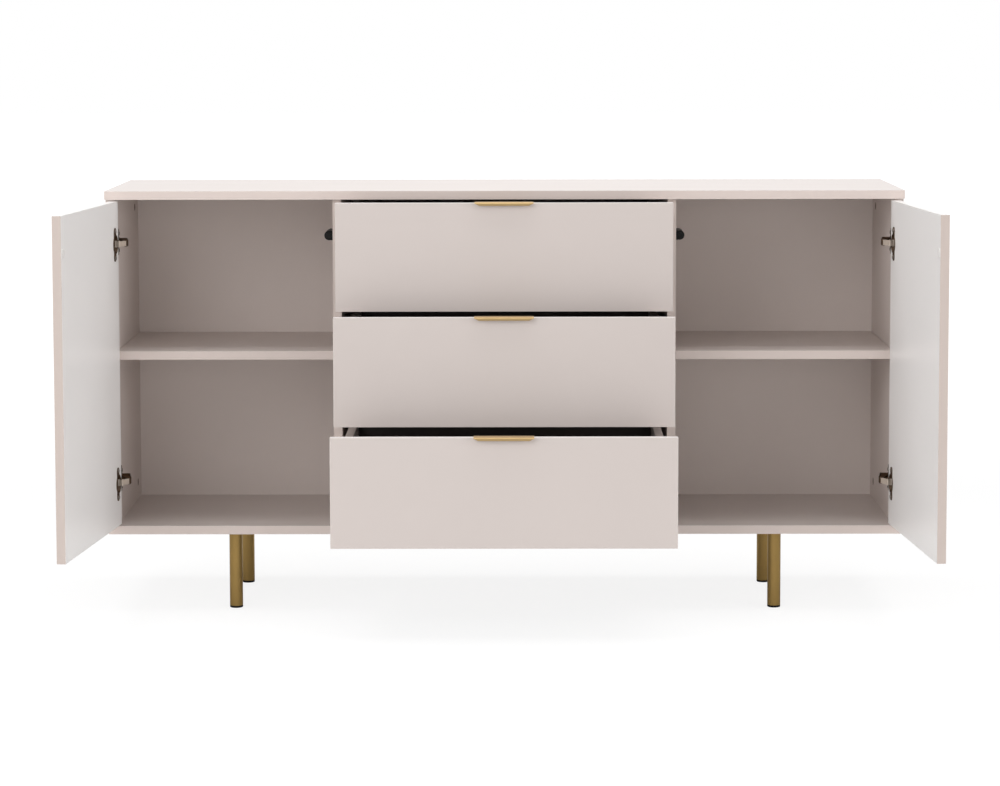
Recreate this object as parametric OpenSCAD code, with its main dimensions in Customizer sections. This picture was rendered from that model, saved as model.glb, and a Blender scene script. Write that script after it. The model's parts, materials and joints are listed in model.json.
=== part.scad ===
// Buffet cabinet on four round legs: two doors on concealed hinges, a shelf behind each
// door and three drawers on telescopic slides between them.
// Millimetres. X runs to the right, Y to the back, Z up from the floor.
// The doors stand open and the drawers are pulled out, each by its own amount.

/* [Cabinet] */
// Width over the top panel
body_w = 1500; // [1350:10:1800]
// Depth over the top panel
body_d = 400; // [394:2:500]
// Height from the floor to the top face
body_h = 800; // [740:5:900]
// Thickness of the cabinet's boards
board_t = 16; // [15:0.5:19]
// Clear width of the drawer bay, between the two dividers
bay_w = 614; // [500:2:700]
// Gap between doors and drawer fronts, and between them and the panels above and below
front_gap = 3; // [2.5:0.25:4]
// Distance from the back face of a door or front to the upright boards
uprights_gap = 3; // [2.5:0.5:6]
// Thickness of the back panel
back_t = 4; // [3:0.5:6]
// Distance from the cabinet's rear edge to the back panel's front face
back_inset = 19; // [14:1:40]
// Depth of the groove that holds the back panel
back_groove = 7; // [5:0.5:9]

/* [Shelves] */
// Height of a shelf's top above the bottom panel
shelf_rise = 330; // [150:5:450]
// Distance from the upright boards' front edge to the shelf
shelf_setback = 2; // [0:1:60]
// Gap at each side and at the back of a shelf
shelf_gap = 0.5; // [0.25:0.25:2]
// Diameter of a shelf pin
pin_d = 5; // [4:0.5:7]
// Length of a shelf pin, half of it in the board
pin_len = 16; // [12:1:20]
// Distance from a shelf's front and back edge to its pins
pin_inset = 45; // [30:5:90]

/* [Board joints] */
// Diameter of a cam lock
cam_d = 15; // [12:1:20]
// Depth of a cam lock in its board
cam_depth = 12.5; // [10:0.5:13.5]
// Distance from the joint to the middle of the cam lock
cam_drop = 34; // [26:1:45]
// Distance from an upright board's front edge to its front cam lock
cam_inset_front = 41; // [30:1:80]
// Distance from the back panel to the rear cam lock
cam_inset_back = 51; // [30:1:80]
// Diameter of the bolt that a cam lock grips
bolt_d = 6; // [5:0.5:8]
// Depth of the bolt and of a dowel in the top or bottom panel
joint_bite = 10; // [7:0.5:12]
// Diameter of a wooden dowel
dowel_d = 8; // [6:0.5:10]
// Length of a wooden dowel
dowel_len = 30; // [25:1:40]
// Distance from a cam lock to the dowel beside it
dowel_offset = 40; // [20:1:60]

/* [Legs] */
// Height of the legs, from the floor to the bottom panel
leg_h = 150; // [100:5:200]
// Outer diameter of a leg
leg_d = 25; // [20:1:40]
// Wall of the leg tube
leg_wall = 1.5; // [1:0.25:3]
// Thickness of the closed top end of a leg
leg_cap_t = 4; // [2:0.5:6]
// Distance from the cabinet's side to the middle of a leg
leg_inset_side = 236; // [60:1:300]
// Distance from the front edge to the middle of a front leg
leg_inset_front = 56; // [40:1:120]
// Distance from the rear edge to the middle of a rear leg
leg_inset_back = 82; // [40:1:120]
// Thickness of the foot pad
pad_t = 4; // [3:0.5:10]
// Length of the plug that holds the pad in the tube
pad_plug = 12; // [8:1:25]
// Side of the square plate on top of a leg
leg_plate_w = 60; // [50:1:80]
// Thickness of that plate
leg_plate_t = 3; // [2:0.5:5]
// Distance between the plate's screws
leg_screw_span = 44; // [38:1:50]
// Diameter of the stud that screws the leg on
stud_d = 8; // [6:1:10]
// Length of the stud in the bottom panel
stud_bite = 10; // [6:1:13]

/* [Doors] */
// Thickness of doors and drawer fronts
door_t = 16; // [15:0.5:22]
// How far the left door stands open, in degrees
open_left = 95.7; // [0:0.1:110]
// How far the right door stands open, in degrees
open_right = 94.4; // [0:0.1:110]
// Distance from a door's top and bottom edge to its hinges
hinge_inset = 80; // [60:5:140]
// Distance from a door's hinge edge to the line that it swings about
axis_inset = 8; // [7:0.25:9]
// Distance from a door's inner face to that line
axis_depth = 16; // [15:0.25:16.5]

/* [Hinges] */
// Outer diameter of a hinge cup
cup_d = 35; // [34:0.25:36]
// Depth of a hinge cup in its door
cup_depth = 11.5; // [11:0.25:12.5]
// Wall and floor of a hinge cup
cup_wall = 0.9; // [0.6:0.1:1]
// Distance from a door's hinge edge to the cup
cup_edge = 5; // [4.5:0.1:5.5]
// Thickness of the cup's flange
flange_t = 1; // [0.6:0.1:1.1]
// Height of the cup's flange
flange_h = 63; // [58:1:70]
// Width of the flange's two ears
flange_ear_w = 16; // [14:1:18]
// Distance between the two screws in a cup's flange
cup_screw_span = 50; // [47:1:54]
// Distance from the cup's middle to its screws, away from the door's hinge edge
cup_screw_offset = 5; // [3:0.5:6]
// Distance from the swing line to the link's pin, along the closed door
link_pin_x = 29; // [28.75:0.05:29.5]
// Distance from the swing line to the link's pin, into the cabinet
link_pin_y = 21; // [20.75:0.05:21.25]
// Length of a link between its two round ends
link_len = 24; // [23:0.5:25]
// Width of a link
link_w = 5; // [4:0.25:5.25]
// Height of a link
link_h = 8; // [4:0.5:8]
// Direction of a link with the door closed, in degrees from the cabinet's side
link_closed = 24; // [23:0.5:25]
// Degrees that a link turns for each degree of its door
link_ratio = 0.45; // [0.43:0.01:0.46]
// Diameter of a link's pin
link_pin_d = 2.4; // [2:0.2:3]
// Height of a hinge arm
arm_h = 12; // [10:0.5:16]
// Height of a hinge arm above its mounting plate, over its long part
arm_rise = 14; // [12:0.5:18]
// Distance from the link's pin to the rear end of the arm
arm_len = 58; // [50:1:80]
// Height of a mounting plate
hinge_plate_h = 50; // [44:1:60]
// Depth of a mounting plate
hinge_plate_d = 34; // [28:1:44]
// Thickness of a mounting plate
hinge_plate_t = 3; // [2:0.5:4]
// Distance from an upright board's front edge to the plate's screws
hinge_plate_setback = 37; // [30:1:45]
// Height of the bar across a mounting plate, which the arm lies on
hinge_bar_h = 16; // [14:1:20]
// Distance between the plate's two screws
hinge_screw_span = 32; // [28:1:38]

/* [Screws] */
// Diameter of a screw's shank
screw_d = 3.5; // [3:0.25:4]
// Length of a screw in its board
screw_bite = 10; // [8:0.5:12]
// Diameter of a screw's head
screw_head_d = 7; // [6:0.25:8]
// Height of a screw's head
screw_head_h = 2; // [1.5:0.25:3]

/* [Push latches] */
// Height of a latch housing
latch_h = 18; // [18:0.5:26]
// How far a latch housing stands out from its divider
latch_w = 16; // [16:0.5:22]
// Length of a latch housing
latch_len = 62; // [55:1:90]
// Distance from an upright board's front edge to the latch housing
latch_setback = 3; // [2:0.5:8]
// Distance from a door's top edge to the middle of the latch
latch_drop = 66; // [60:1:150]
// Diameter of the latch plunger
plunger_d = 10; // [8:0.5:12]
// Length of the latch plunger
plunger_len = 42; // [36:1:46]
// How far the plunger can be pushed in
plunger_press = 4; // [2:0.5:5]
// Room for the spring behind a plunger that is pushed in
spring_room = 2; // [1:0.5:6]
// Length of the screw tab behind a latch housing
latch_tab = 14; // [12:1:20]
// Thickness of that tab
latch_tab_t = 3; // [2:0.5:4]
// Diameter of the strike plate on the door
strike_d = 16; // [13:0.5:22]
// Thickness of the strike plate
strike_t = 1; // [0.6:0.1:1.4]
// Gap between strike plate and plunger with the door closed
strike_gap = 0.3; // [0.2:0.1:0.6]

/* [Drawers] */
// How far the top drawer is pulled out
pull_out_top = 65; // [0:5:330]
// How far the middle drawer is pulled out
pull_out_middle = 150; // [0:5:330]
// How far the bottom drawer is pulled out
pull_out_bottom = 270; // [0:5:330]
// Thickness of a drawer's sides and back
box_t = 15; // [12:0.5:16]
// Height of a drawer's sides
box_h = 165; // [120:5:170]
// Distance from the bottom edge of a drawer front to the drawer's sides
box_rise = 18; // [12:1:22]
// Thickness of a drawer's bottom
box_bottom_t = 4; // [3:0.5:6]
// Depth of the grooves that hold a drawer's bottom
box_groove = 6; // [4:0.5:8]
// Height of a drawer's bottom above the lower edge of its sides
box_bottom_rise = 10; // [8:1:16]
// Gap around a drawer's bottom in its grooves
box_groove_gap = 0.2; // [0.1:0.05:0.4]

/* [Slides] */
// Length of each rail of a slide
slide_len = 350; // [300:5:350]
// Height of the rail on the divider
slide_h = 45; // [35:1:50]
// Space between divider and drawer that a slide fills
slide_w = 12.7; // [12.5:0.1:14]
// Sheet thickness of the slide's rails
slide_t = 1.2; // [1:0.1:1.4]
// Running gap between one rail and the next
slide_gap = 0.3; // [0.2:0.05:0.5]
// Distance from the lower edge of a drawer's sides to the middle of its slides
slide_rise = 60; // [40:5:90]
// Distance from an upright board's front edge to a slide
slide_setback = 3; // [2:1:8]

/* [Edge pulls] */
// Width of an edge pull
pull_w = 109; // [60:1:200]
// Sheet thickness of an edge pull
pull_t = 1.5; // [1:0.25:2]
// How far an edge pull stands out in front of the drawer front
pull_reach = 12; // [8:0.5:20]
// Height of the lip along the pull's front edge
pull_lip = 6; // [5.75:0.25:12]
// Width lost at each lower corner of the lip
pull_slant = 8; // [0:0.5:15]
// Height of the tab behind the drawer front
pull_tab = 16; // [10:1:18]

/* [Fit] */
// Radial gap between a pin, screw or plug and its hole
fit = 0.05; // [0.03:0.01:0.08]

/* [Hidden] */
$fn = 48;
half_w = body_w / 2;
side_in_x = half_w - board_t;
divider_x = (bay_w + board_t) / 2;
divider_out_x = bay_w / 2 + board_t;
floor_z = leg_h + board_t;
ceil_z = body_h - board_t;
uprights_y = door_t + uprights_gap;
back_y = body_d - back_inset;
// Middles of the two upright boards left of centre
upright_xs = [-(half_w - board_t / 2), -divider_x];
cam_ys = [uprights_y + cam_inset_front, back_y - cam_inset_back];
dowel_ys = [cam_ys[0] + dowel_offset, cam_ys[1] - dowel_offset];
groove_gap = 0.1;
shelf_z = floor_z + shelf_rise;
pin_ys = [uprights_y + shelf_setback + pin_inset, back_y - shelf_gap - pin_inset];

leg_x = half_w - leg_inset_side;
leg_ys = [leg_inset_front, body_d - leg_inset_back];
leg_top_z = leg_h - leg_plate_t;

door_w = half_w - divider_x - front_gap / 2;
door_h = ceil_z - floor_z - 2 * front_gap;
door_z = floor_z + front_gap;
hinge_zs = [door_z + hinge_inset, door_z + door_h - hinge_inset];
// The left door's swing line
axis_x = -(half_w - axis_inset);
axis_y = door_t - axis_depth;
cup_x = -(half_w - cup_edge - cup_d / 2);
flange_w = cup_d + 2 * flange_t;
flange_ear_x = cup_x + cup_screw_offset;
cup_bore_gap = 0.1;
link_pin = [axis_x + link_pin_x, axis_y + link_pin_y];
arm_rear_y = link_pin[1] + arm_len;
arm_top_x = -side_in_x + hinge_plate_t + arm_rise;
arm_nose_r = 3.2;
link_side_gap = 0.2;
hinge_plate_y = uprights_y + hinge_plate_setback;

latch_z = door_z + door_h - latch_drop;
latch_y = uprights_y + latch_setback;
latch_axis_x = -(divider_out_x + latch_w - latch_h / 2);
plunger_y = door_t + strike_t + strike_gap;
plunger_bore = plunger_y + plunger_len + plunger_press + spring_room;

front_w = 2 * divider_x - front_gap;
drawer_h = (door_h - 2 * front_gap) / 3;
box_x = bay_w / 2 - slide_w;
box_y = door_t;
box_back_y = box_y + slide_len;
slide_y = uprights_y + slide_setback;
// The drawers from the bottom up: the lower edge of the front, and how far it is pulled out
drawer_zs = [for (n = [0:2]) door_z + n * (drawer_h + front_gap)];
pull_outs = [pull_out_bottom, pull_out_middle, pull_out_top];

// The frame's origin is on the floor, in the middle of all that the open cabinet covers
function door_reach(angle) =
    (door_w - axis_inset) * sin(angle)
    - min(axis_y * -cos(angle), axis_depth * cos(angle)) - axis_y;
front_reach = max(
    door_reach(open_left),
    door_reach(open_right),
    max(pull_outs) + pull_reach
);
front_y = (front_reach - body_d) / 2;

paint = [0.84, 0.80, 0.78];
carcass_paint = [0.78, 0.73, 0.70];
dark_board = [0.16, 0.13, 0.12];
gold = [0.70, 0.56, 0.33];
steel = [0.72, 0.72, 0.73];
black = [0.10, 0.10, 0.10];
birch = [0.80, 0.68, 0.50];

// Where things are and what they share

module block(x, y, z) {
    translate([x[0], y[0], z[0]]) cube([x[1] - x[0], y[1] - y[0], z[1] - z[0]]);
}

module in_frame() {
    translate([0, front_y, 0]) children();
}

// Shapes are drawn for the left half, and the right half is their mirror image
module on_side(right) {
    mirror([right, 0, 0]) children();
}

module on_both_sides() {
    for (right = [0, 1]) on_side(right) children();
}

// A door and what is fixed to it, swung open about the door's line
module swung(right) {
    on_side(right)
        translate([axis_x, axis_y, 0])
            rotate([0, 0, right == 1 ? -open_right : -open_left])
                translate([-axis_x, -axis_y, 0]) children();
}

module pulled(n, share = 1) {
    translate([0, -pull_outs[n] * share, 0]) children();
}

// A screw whose tip points along +Z, with the underside of its head at the origin
module screw() {
    translate([0, 0, -screw_head_h]) cylinder(d = screw_head_d, h = screw_head_h);
    cylinder(d = screw_d, h = screw_bite);
}

module screw_hole(len = screw_bite) {
    cylinder(d = screw_d + 2 * fit, h = len + fit);
}

// Joints between an upright board and the panels above and below it.
// In each place +Z points into the panel and the origin is in the joint.
module at_joints(ys, ends = [0, 1]) {
    for (x = upright_xs, y = ys, top = ends)
        translate([x, y, top == 1 ? ceil_z : floor_z]) mirror([0, 0, 1 - top]) children();
}

module dowel(gap = 0) {
    translate([0, 0, joint_bite - dowel_len]) cylinder(d = dowel_d + 2 * gap, h = dowel_len);
}

module cam_bolt() {
    end = cam_d / 2 - cam_drop;
    translate([0, 0, end]) cylinder(d = bolt_d, h = joint_bite - fit - end);
}

// The bolt's hole opens into the cam lock's pocket
module joint_holes() {
    on_both_sides() at_joints(dowel_ys) dowel(fit);
    on_both_sides() at_joints(cam_ys) translate([0, 0, -cam_drop])
        cylinder(d = bolt_d + 2 * fit, h = cam_drop + joint_bite);
}

module cam_pockets() {
    at_joints(cam_ys)
        translate([board_t / 2, 0, -cam_drop]) rotate([0, -90, 0])
            cylinder(d = cam_d + 2 * fit, h = cam_depth + fit);
}

// Cabinet

module wide_panel(z) {
    color(paint) in_frame() difference() {
        block([-half_w, half_w], [0, body_d], [z, z + board_t]);
        back_panel_space();
        joint_holes();
        leg_holes();
    }
}

module back_panel_space() {
    x = side_in_x + back_groove + groove_gap;
    block(
        [-x, x],
        [back_y - groove_gap, back_y + back_t + groove_gap],
        [floor_z - back_groove - groove_gap, ceil_z + back_groove + groove_gap]
    );
}

module top_panel() wide_panel(ceil_z);

module bottom_panel() wide_panel(leg_h);

module side_panel(right) {
    color(carcass_paint) in_frame() difference() {
        on_side(right) difference() {
            block([-half_w, -side_in_x], [uprights_y, body_d], [floor_z, ceil_z]);
            cam_pockets();
            shelf_pin_holes();
            hinge_plate_screw_holes();
        }
        joint_holes();
        back_panel_space();
    }
}

module divider(right) {
    color(carcass_paint) in_frame() difference() {
        on_side(right) difference() {
            block([-divider_out_x, -bay_w / 2], [uprights_y, back_y], [floor_z, ceil_z]);
            cam_pockets();
            shelf_pin_holes();
            latch_screw_holes();
        }
        joint_holes();
    }
}

module back_panel() {
    x = side_in_x + back_groove;
    color(carcass_paint) in_frame()
        block([-x, x], [back_y, back_y + back_t], [floor_z - back_groove, ceil_z + back_groove]);
}

module shelf(right) {
    color(paint) in_frame() on_side(right) block(
        [-side_in_x + shelf_gap, -divider_out_x - shelf_gap],
        [uprights_y + shelf_setback, back_y - shelf_gap],
        [shelf_z - board_t, shelf_z]
    );
}

module at_shelf_pins() {
    for (x = [-side_in_x, -divider_out_x], y = pin_ys)
        translate([x, y, shelf_z - board_t - pin_d / 2 - fit]) rotate([0, 90, 0]) children();
}

module shelf_pin_holes() {
    at_shelf_pins() cylinder(d = pin_d + 2 * fit, h = pin_len + 2 * fit, center = true);
}

module shelf_pins() {
    color(steel) in_frame() on_both_sides()
        at_shelf_pins() cylinder(d = pin_d, h = pin_len, center = true);
}

module cam_locks() {
    slot_l = cam_d * 0.6;
    slot_w = 1.6;
    slot_depth = 2;
    color(steel) in_frame() on_both_sides() at_joints(cam_ys)
        translate([board_t / 2, 0, -cam_drop]) rotate([0, -90, 0]) difference() {
            cylinder(d = cam_d, h = cam_depth);
            for (turn = [0, 90]) rotate(turn) cube([slot_l, slot_w, 2 * slot_depth], center = true);
        }
}

module cam_bolts() {
    color(steel) in_frame() on_both_sides() at_joints(cam_ys) cam_bolt();
}

module dowels() {
    color(birch) in_frame() on_both_sides() at_joints(dowel_ys) dowel();
}

// Legs

module at_leg(right, back) {
    on_side(right) translate([-leg_x, leg_ys[back], 0]) children();
}

module at_legs() {
    for (right = [0, 1], back = [0, 1]) at_leg(right, back) children();
}

module at_leg_screws() {
    for (x = [-1, 1], y = [-1, 1])
        translate([x * leg_screw_span / 2, y * leg_screw_span / 2, leg_top_z]) children();
}

module leg_holes() {
    at_legs() {
        translate([0, 0, leg_h - 1]) cylinder(d = stud_d + 2 * fit, h = stud_bite + 1 + fit);
        at_leg_screws() screw_hole();
    }
}

module leg(right, back) {
    inner_d = leg_d - 2 * leg_wall;
    color(gold) in_frame() at_leg(right, back) {
        difference() {
            translate([0, 0, pad_t]) cylinder(d = leg_d, h = leg_top_z - pad_t);
            translate([0, 0, pad_t - 1]) cylinder(d = inner_d, h = leg_top_z - leg_cap_t - pad_t + 1);
        }
        translate([0, 0, leg_top_z - leg_cap_t / 2])
            cylinder(d = stud_d, h = leg_cap_t / 2 + leg_plate_t + stud_bite);
    }
}

module foot_pads() {
    color(black) in_frame() at_legs() {
        cylinder(d = leg_d, h = pad_t);
        cylinder(d = leg_d - 2 * leg_wall - 2 * fit, h = pad_t + pad_plug);
    }
}

module leg_plates() {
    w = leg_plate_w;
    color(black) in_frame() at_legs() difference() {
        translate([-w / 2, -w / 2, leg_top_z]) cube([w, w, leg_plate_t]);
        translate([0, 0, leg_top_z - 1]) cylinder(d = stud_d + 2 * fit, h = leg_plate_t + 2);
        at_leg_screws() translate([0, 0, -1]) screw_hole(leg_plate_t + 2);
    }
}

module leg_screws() {
    color(steel) in_frame() at_legs() at_leg_screws() screw();
}

// Doors. What is fixed to a door is drawn on the closed door, and swung open with it.

module at_hinges() {
    for (z = hinge_zs) translate([0, 0, z]) children();
}

// Places on the door's inner face where +Z points into the door
module at_cups() {
    at_hinges() translate([cup_x, door_t, 0]) rotate([90, 0, 0]) children();
}

module at_cup_screws() {
    at_cups() for (z = [-1, 1])
        translate([flange_ear_x - cup_x, z * cup_screw_span / 2, -flange_t]) children();
}

module door(right) {
    color(paint) in_frame() swung(right) difference() {
        block([-half_w, -half_w + door_w], [0, door_t], [door_z, door_z + door_h]);
        at_cups() translate([0, 0, -1])
            cylinder(d = cup_d + 2 * cup_bore_gap, h = cup_depth + cup_bore_gap + 1);
        at_cup_screws() screw_hole();
    }
}

module hinge_cups(right) {
    color(steel) in_frame() swung(right) at_cups() difference() {
        union() {
            cylinder(d = cup_d, h = cup_depth);
            translate([0, 0, -flange_t]) cylinder(d = flange_w, h = flange_t);
            translate([flange_ear_x - cup_x - flange_ear_w / 2, -flange_h / 2, -flange_t])
                cube([flange_ear_w, flange_h, flange_t]);
        }
        translate([0, 0, -flange_t - 1])
            cylinder(d = cup_d - 2 * cup_wall, h = cup_depth - cup_wall + flange_t + 1);
        for (z = [-1, 1]) translate([flange_ear_x - cup_x, z * cup_screw_span / 2, -flange_t - 1])
            screw_hole(flange_t + 2);
    }
}

module cup_screws(right) {
    color(steel) in_frame() swung(right) at_cup_screws() screw();
}

// A link turns about its pin in the arm, and its free end follows the cup
module link(right) {
    turned = link_ratio * (right == 1 ? open_right : open_left);
    color(steel) in_frame() on_side(right) at_hinges()
        translate([link_pin[0], link_pin[1], -link_h / 2])
            rotate([0, 0, 180 + link_closed + turned]) difference() {
                union() {
                    cylinder(d = link_w, h = link_h);
                    translate([0, -link_w / 2, 0]) cube([link_len, link_w, link_h]);
                    translate([link_len, 0, 0]) cylinder(d = link_w, h = link_h);
                }
                translate([0, 0, -1]) cylinder(d = link_pin_d + 2 * fit, h = link_h + 2);
            }
}

// The arm narrows to a fork that holds the link's pin
module hinge_arms(right) {
    plate_x = -side_in_x + hinge_plate_t;
    nose_x = link_pin[0] + arm_nose_r;
    nose_y = link_pin[1];
    slot_h = link_h + 2 * link_side_gap;
    color(steel) in_frame() on_side(right) at_hinges() {
        difference() {
            translate([0, 0, -arm_h / 2]) linear_extrude(arm_h) polygon([
                [plate_x, arm_rear_y],
                [plate_x, nose_y + 2 * arm_rise],
                [nose_x - 2 * arm_nose_r, nose_y],
                [nose_x, nose_y],
                [nose_x, nose_y + arm_rise],
                [arm_top_x, nose_y + 2 * arm_rise],
                [arm_top_x, arm_rear_y]
            ]);
            translate([plate_x - 1, nose_y - arm_rise, -slot_h / 2])
                cube([side_in_x, arm_rise + link_w, slot_h]);
        }
        for (end = [-1, 1]) translate([link_pin[0], nose_y, end * (arm_h + slot_h) / 4])
            cylinder(r = arm_nose_r, h = (arm_h - slot_h) / 2, center = true);
        translate([link_pin[0], nose_y, 0]) cylinder(d = link_pin_d, h = arm_h, center = true);
    }
}

// Places on the side panel's inner face where +Z points into the panel
module at_hinge_plates() {
    at_hinges() translate([-side_in_x, hinge_plate_y, 0]) rotate([0, -90, 0]) children();
}

module at_hinge_plate_screws() {
    at_hinge_plates() for (z = [-1, 1])
        translate([z * hinge_screw_span / 2, 0, -hinge_plate_t]) children();
}

module hinge_plate_screw_holes() {
    at_hinge_plate_screws() screw_hole();
}

module hinge_plates() {
    color(steel) in_frame() on_both_sides() difference() {
        at_hinge_plates() {
            translate([-hinge_plate_h / 2, -screw_head_d, -hinge_plate_t])
                cube([hinge_plate_h, 2 * screw_head_d, hinge_plate_t]);
            translate([-hinge_bar_h / 2, -hinge_plate_d / 2, -hinge_plate_t])
                cube([hinge_bar_h, hinge_plate_d, hinge_plate_t]);
        }
        at_hinge_plate_screws() translate([0, 0, -1]) screw_hole(hinge_plate_t + 2);
    }
}

// Push latches

// Places on the divider's face in the door's bay where +Z points into the divider
module at_latch_screws() {
    rear_y = latch_y + latch_len + latch_tab / 2;
    for (z = [-1, 1])
        translate([-divider_out_x - latch_tab_t, rear_y, latch_z + z * latch_h / 4])
            rotate([0, 90, 0]) children();
}

module latch_screw_holes() {
    at_latch_screws() screw_hole();
}

module bracket_screws() {
    color(steel) in_frame() on_both_sides() {
        at_hinge_plate_screws() screw();
        at_latch_screws() screw();
    }
}

module push_latch(right) {
    r = latch_h / 2;
    color(black) in_frame() on_side(right) difference() {
        union() {
            translate([latch_axis_x, latch_y + latch_len, latch_z]) rotate([90, 0, 0])
                linear_extrude(latch_len) intersection() {
                    union() {
                        circle(r = r);
                        translate([0, -r]) square([latch_w, latch_h]);
                    }
                    translate([-r, -r]) square([latch_w, latch_h]);
                }
            block(
                [-divider_out_x - latch_tab_t, -divider_out_x],
                [latch_y + latch_len - 1, latch_y + latch_len + latch_tab],
                [latch_z - r, latch_z + r]
            );
        }
        translate([latch_axis_x, plunger_bore, latch_z]) rotate([90, 0, 0])
            cylinder(d = plunger_d + 2 * fit, h = plunger_bore);
        at_latch_screws() translate([0, 0, -1]) screw_hole(latch_tab_t + 2);
    }
}

module latch_plunger(right) {
    tip = 1;
    color(black) in_frame() on_side(right) translate([latch_axis_x, plunger_y, latch_z])
        rotate([-90, 0, 0]) {
            cylinder(d1 = plunger_d - 2 * tip, d2 = plunger_d, h = tip);
            translate([0, 0, tip]) cylinder(d = plunger_d, h = plunger_len - tip);
        }
}

module strike_plate(right) {
    color(steel) in_frame() swung(right) translate([latch_axis_x, door_t + strike_t, latch_z])
        rotate([90, 0, 0]) cylinder(d = strike_d, h = strike_t);
}

// Drawers. Number 0 is the bottom one, and all are drawn closed and then pulled out.

// A C-shaped rail, open towards +X, from x0 to x1 and as tall as h
module c_rail(x0, x1, h) {
    difference() {
        block([x0, x1], [slide_y, slide_y + slide_len], [-h / 2, h / 2]);
        block(
            [x0 + slide_t, x1 + 1],
            [slide_y - 1, slide_y + slide_len + 1],
            [slide_t - h / 2, h / 2 - slide_t]
        );
    }
}

member_h = slide_h - 2 * (slide_t + slide_gap);
drawer_rail_h = member_h - 2 * (slide_t + slide_gap);
member_x = slide_t + slide_gap;
drawer_rail_x = member_x + slide_t + slide_gap;

// Places of one drawer's two slides, where X = 0 is the divider's face
module at_slides(n) {
    on_both_sides() translate([-bay_w / 2, 0, drawer_zs[n] + box_rise + slide_rise]) children();
}

module slide_rails() {
    color(steel) in_frame() for (n = [0:2])
        at_slides(n) c_rail(0, slide_w - slide_t - slide_gap, slide_h);
}

module slide_members(n) {
    color(steel) in_frame() pulled(n, 0.5)
        at_slides(n) c_rail(member_x, slide_w - slide_t - slide_gap, member_h);
}

module drawer_rails(n) {
    color(steel) in_frame() pulled(n)
        at_slides(n) translate([slide_w, 0, 0]) mirror([1, 0, 0])
            c_rail(0, slide_w - drawer_rail_x, drawer_rail_h);
}

module drawer_base_space(n, gap) {
    x = box_x - box_t + box_groove + gap;
    z = drawer_zs[n] + box_rise + box_bottom_rise;
    block(
        [-x, x],
        [box_y - box_groove - gap, box_back_y],
        [z - gap, z + box_bottom_t + gap]
    );
}

module drawer_front(n) {
    color(paint) in_frame() pulled(n) difference() {
        block(
            [-front_w / 2, front_w / 2],
            [0, door_t],
            [drawer_zs[n], drawer_zs[n] + drawer_h]
        );
        drawer_base_space(n, box_groove_gap);
    }
}

module drawer_sides(n) {
    z = drawer_zs[n] + box_rise;
    color(carcass_paint) in_frame() pulled(n) difference() {
        on_both_sides() block([-box_x, -box_x + box_t], [box_y, box_back_y], [z, z + box_h]);
        translate([0, 1, 0]) drawer_base_space(n, box_groove_gap);
    }
}

module drawer_back(n) {
    x = box_x - box_t;
    base_z = drawer_zs[n] + box_rise + box_bottom_rise + box_bottom_t;
    color(dark_board) in_frame() pulled(n) block(
        [-x, x],
        [box_back_y - box_t, box_back_y],
        [base_z, drawer_zs[n] + box_rise + box_h]
    );
}

module drawer_base(n) {
    color(dark_board) in_frame() pulled(n) drawer_base_space(n, 0);
}

// Bent from one sheet: a tab behind the front, a ledge over its top edge and a lip
module edge_pull(n) {
    top_z = drawer_zs[n] + drawer_h;
    w = pull_w / 2;
    color(gold) in_frame() pulled(n) {
        block([-w, w], [-pull_reach, door_t + pull_t], [top_z, top_z + pull_t]);
        block([-w, w], [door_t, door_t + pull_t], [top_z - pull_tab, top_z + pull_t]);
        translate([0, pull_t - pull_reach, top_z + pull_t]) rotate([90, 0, 0])
            linear_extrude(pull_t) polygon([
                [-w, 0],
                [-w, -pull_t],
                [pull_slant - w, -pull_lip],
                [w - pull_slant, -pull_lip],
                [w, -pull_t],
                [w, 0]
            ]);
    }
}

top_panel();
bottom_panel();
side_panel(0);  // side_panel_left
side_panel(1);  // side_panel_right
divider(0);  // divider_left
divider(1);  // divider_right
back_panel();
shelf(0);  // shelf_left
shelf(1);  // shelf_right
shelf_pins();
cam_locks();
cam_bolts();
dowels();
leg(0, 0);  // leg_front_left
leg(1, 0);  // leg_front_right
leg(0, 1);  // leg_rear_left
leg(1, 1);  // leg_rear_right
foot_pads();
leg_plates();
leg_screws();
door(0);  // door_left
door(1);  // door_right
hinge_cups(0);  // hinge_cups_left
hinge_cups(1);  // hinge_cups_right
cup_screws(0);  // cup_screws_left
cup_screws(1);  // cup_screws_right
link(0);  // hinge_links_left
link(1);  // hinge_links_right
hinge_arms(0);  // hinge_arms_left
hinge_arms(1);  // hinge_arms_right
hinge_plates();
bracket_screws();
push_latch(0);  // push_latch_left
push_latch(1);  // push_latch_right
latch_plunger(0);  // latch_plunger_left
latch_plunger(1);  // latch_plunger_right
strike_plate(0);  // strike_plate_left
strike_plate(1);  // strike_plate_right
slide_rails();
slide_members(2);  // slide_members_top
slide_members(1);  // slide_members_middle
slide_members(0);  // slide_members_bottom
drawer_rails(2);  // drawer_rails_top
drawer_rails(1);  // drawer_rails_middle
drawer_rails(0);  // drawer_rails_bottom
drawer_front(2);  // drawer_front_top
drawer_front(1);  // drawer_front_middle
drawer_front(0);  // drawer_front_bottom
drawer_sides(2);  // drawer_sides_top
drawer_sides(1);  // drawer_sides_middle
drawer_sides(0);  // drawer_sides_bottom
drawer_back(2);  // drawer_back_top
drawer_back(1);  // drawer_back_middle
drawer_back(0);  // drawer_back_bottom
drawer_base(2);  // drawer_base_top
drawer_base(1);  // drawer_base_middle
drawer_base(0);  // drawer_base_bottom
edge_pull(2);  // edge_pull_top
edge_pull(1);  // edge_pull_middle
edge_pull(0);  // edge_pull_bottom
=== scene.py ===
import json
import math

import bmesh
import bpy
from mathutils import Matrix, Vector
from mathutils.geometry import tessellate_polygon


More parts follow.
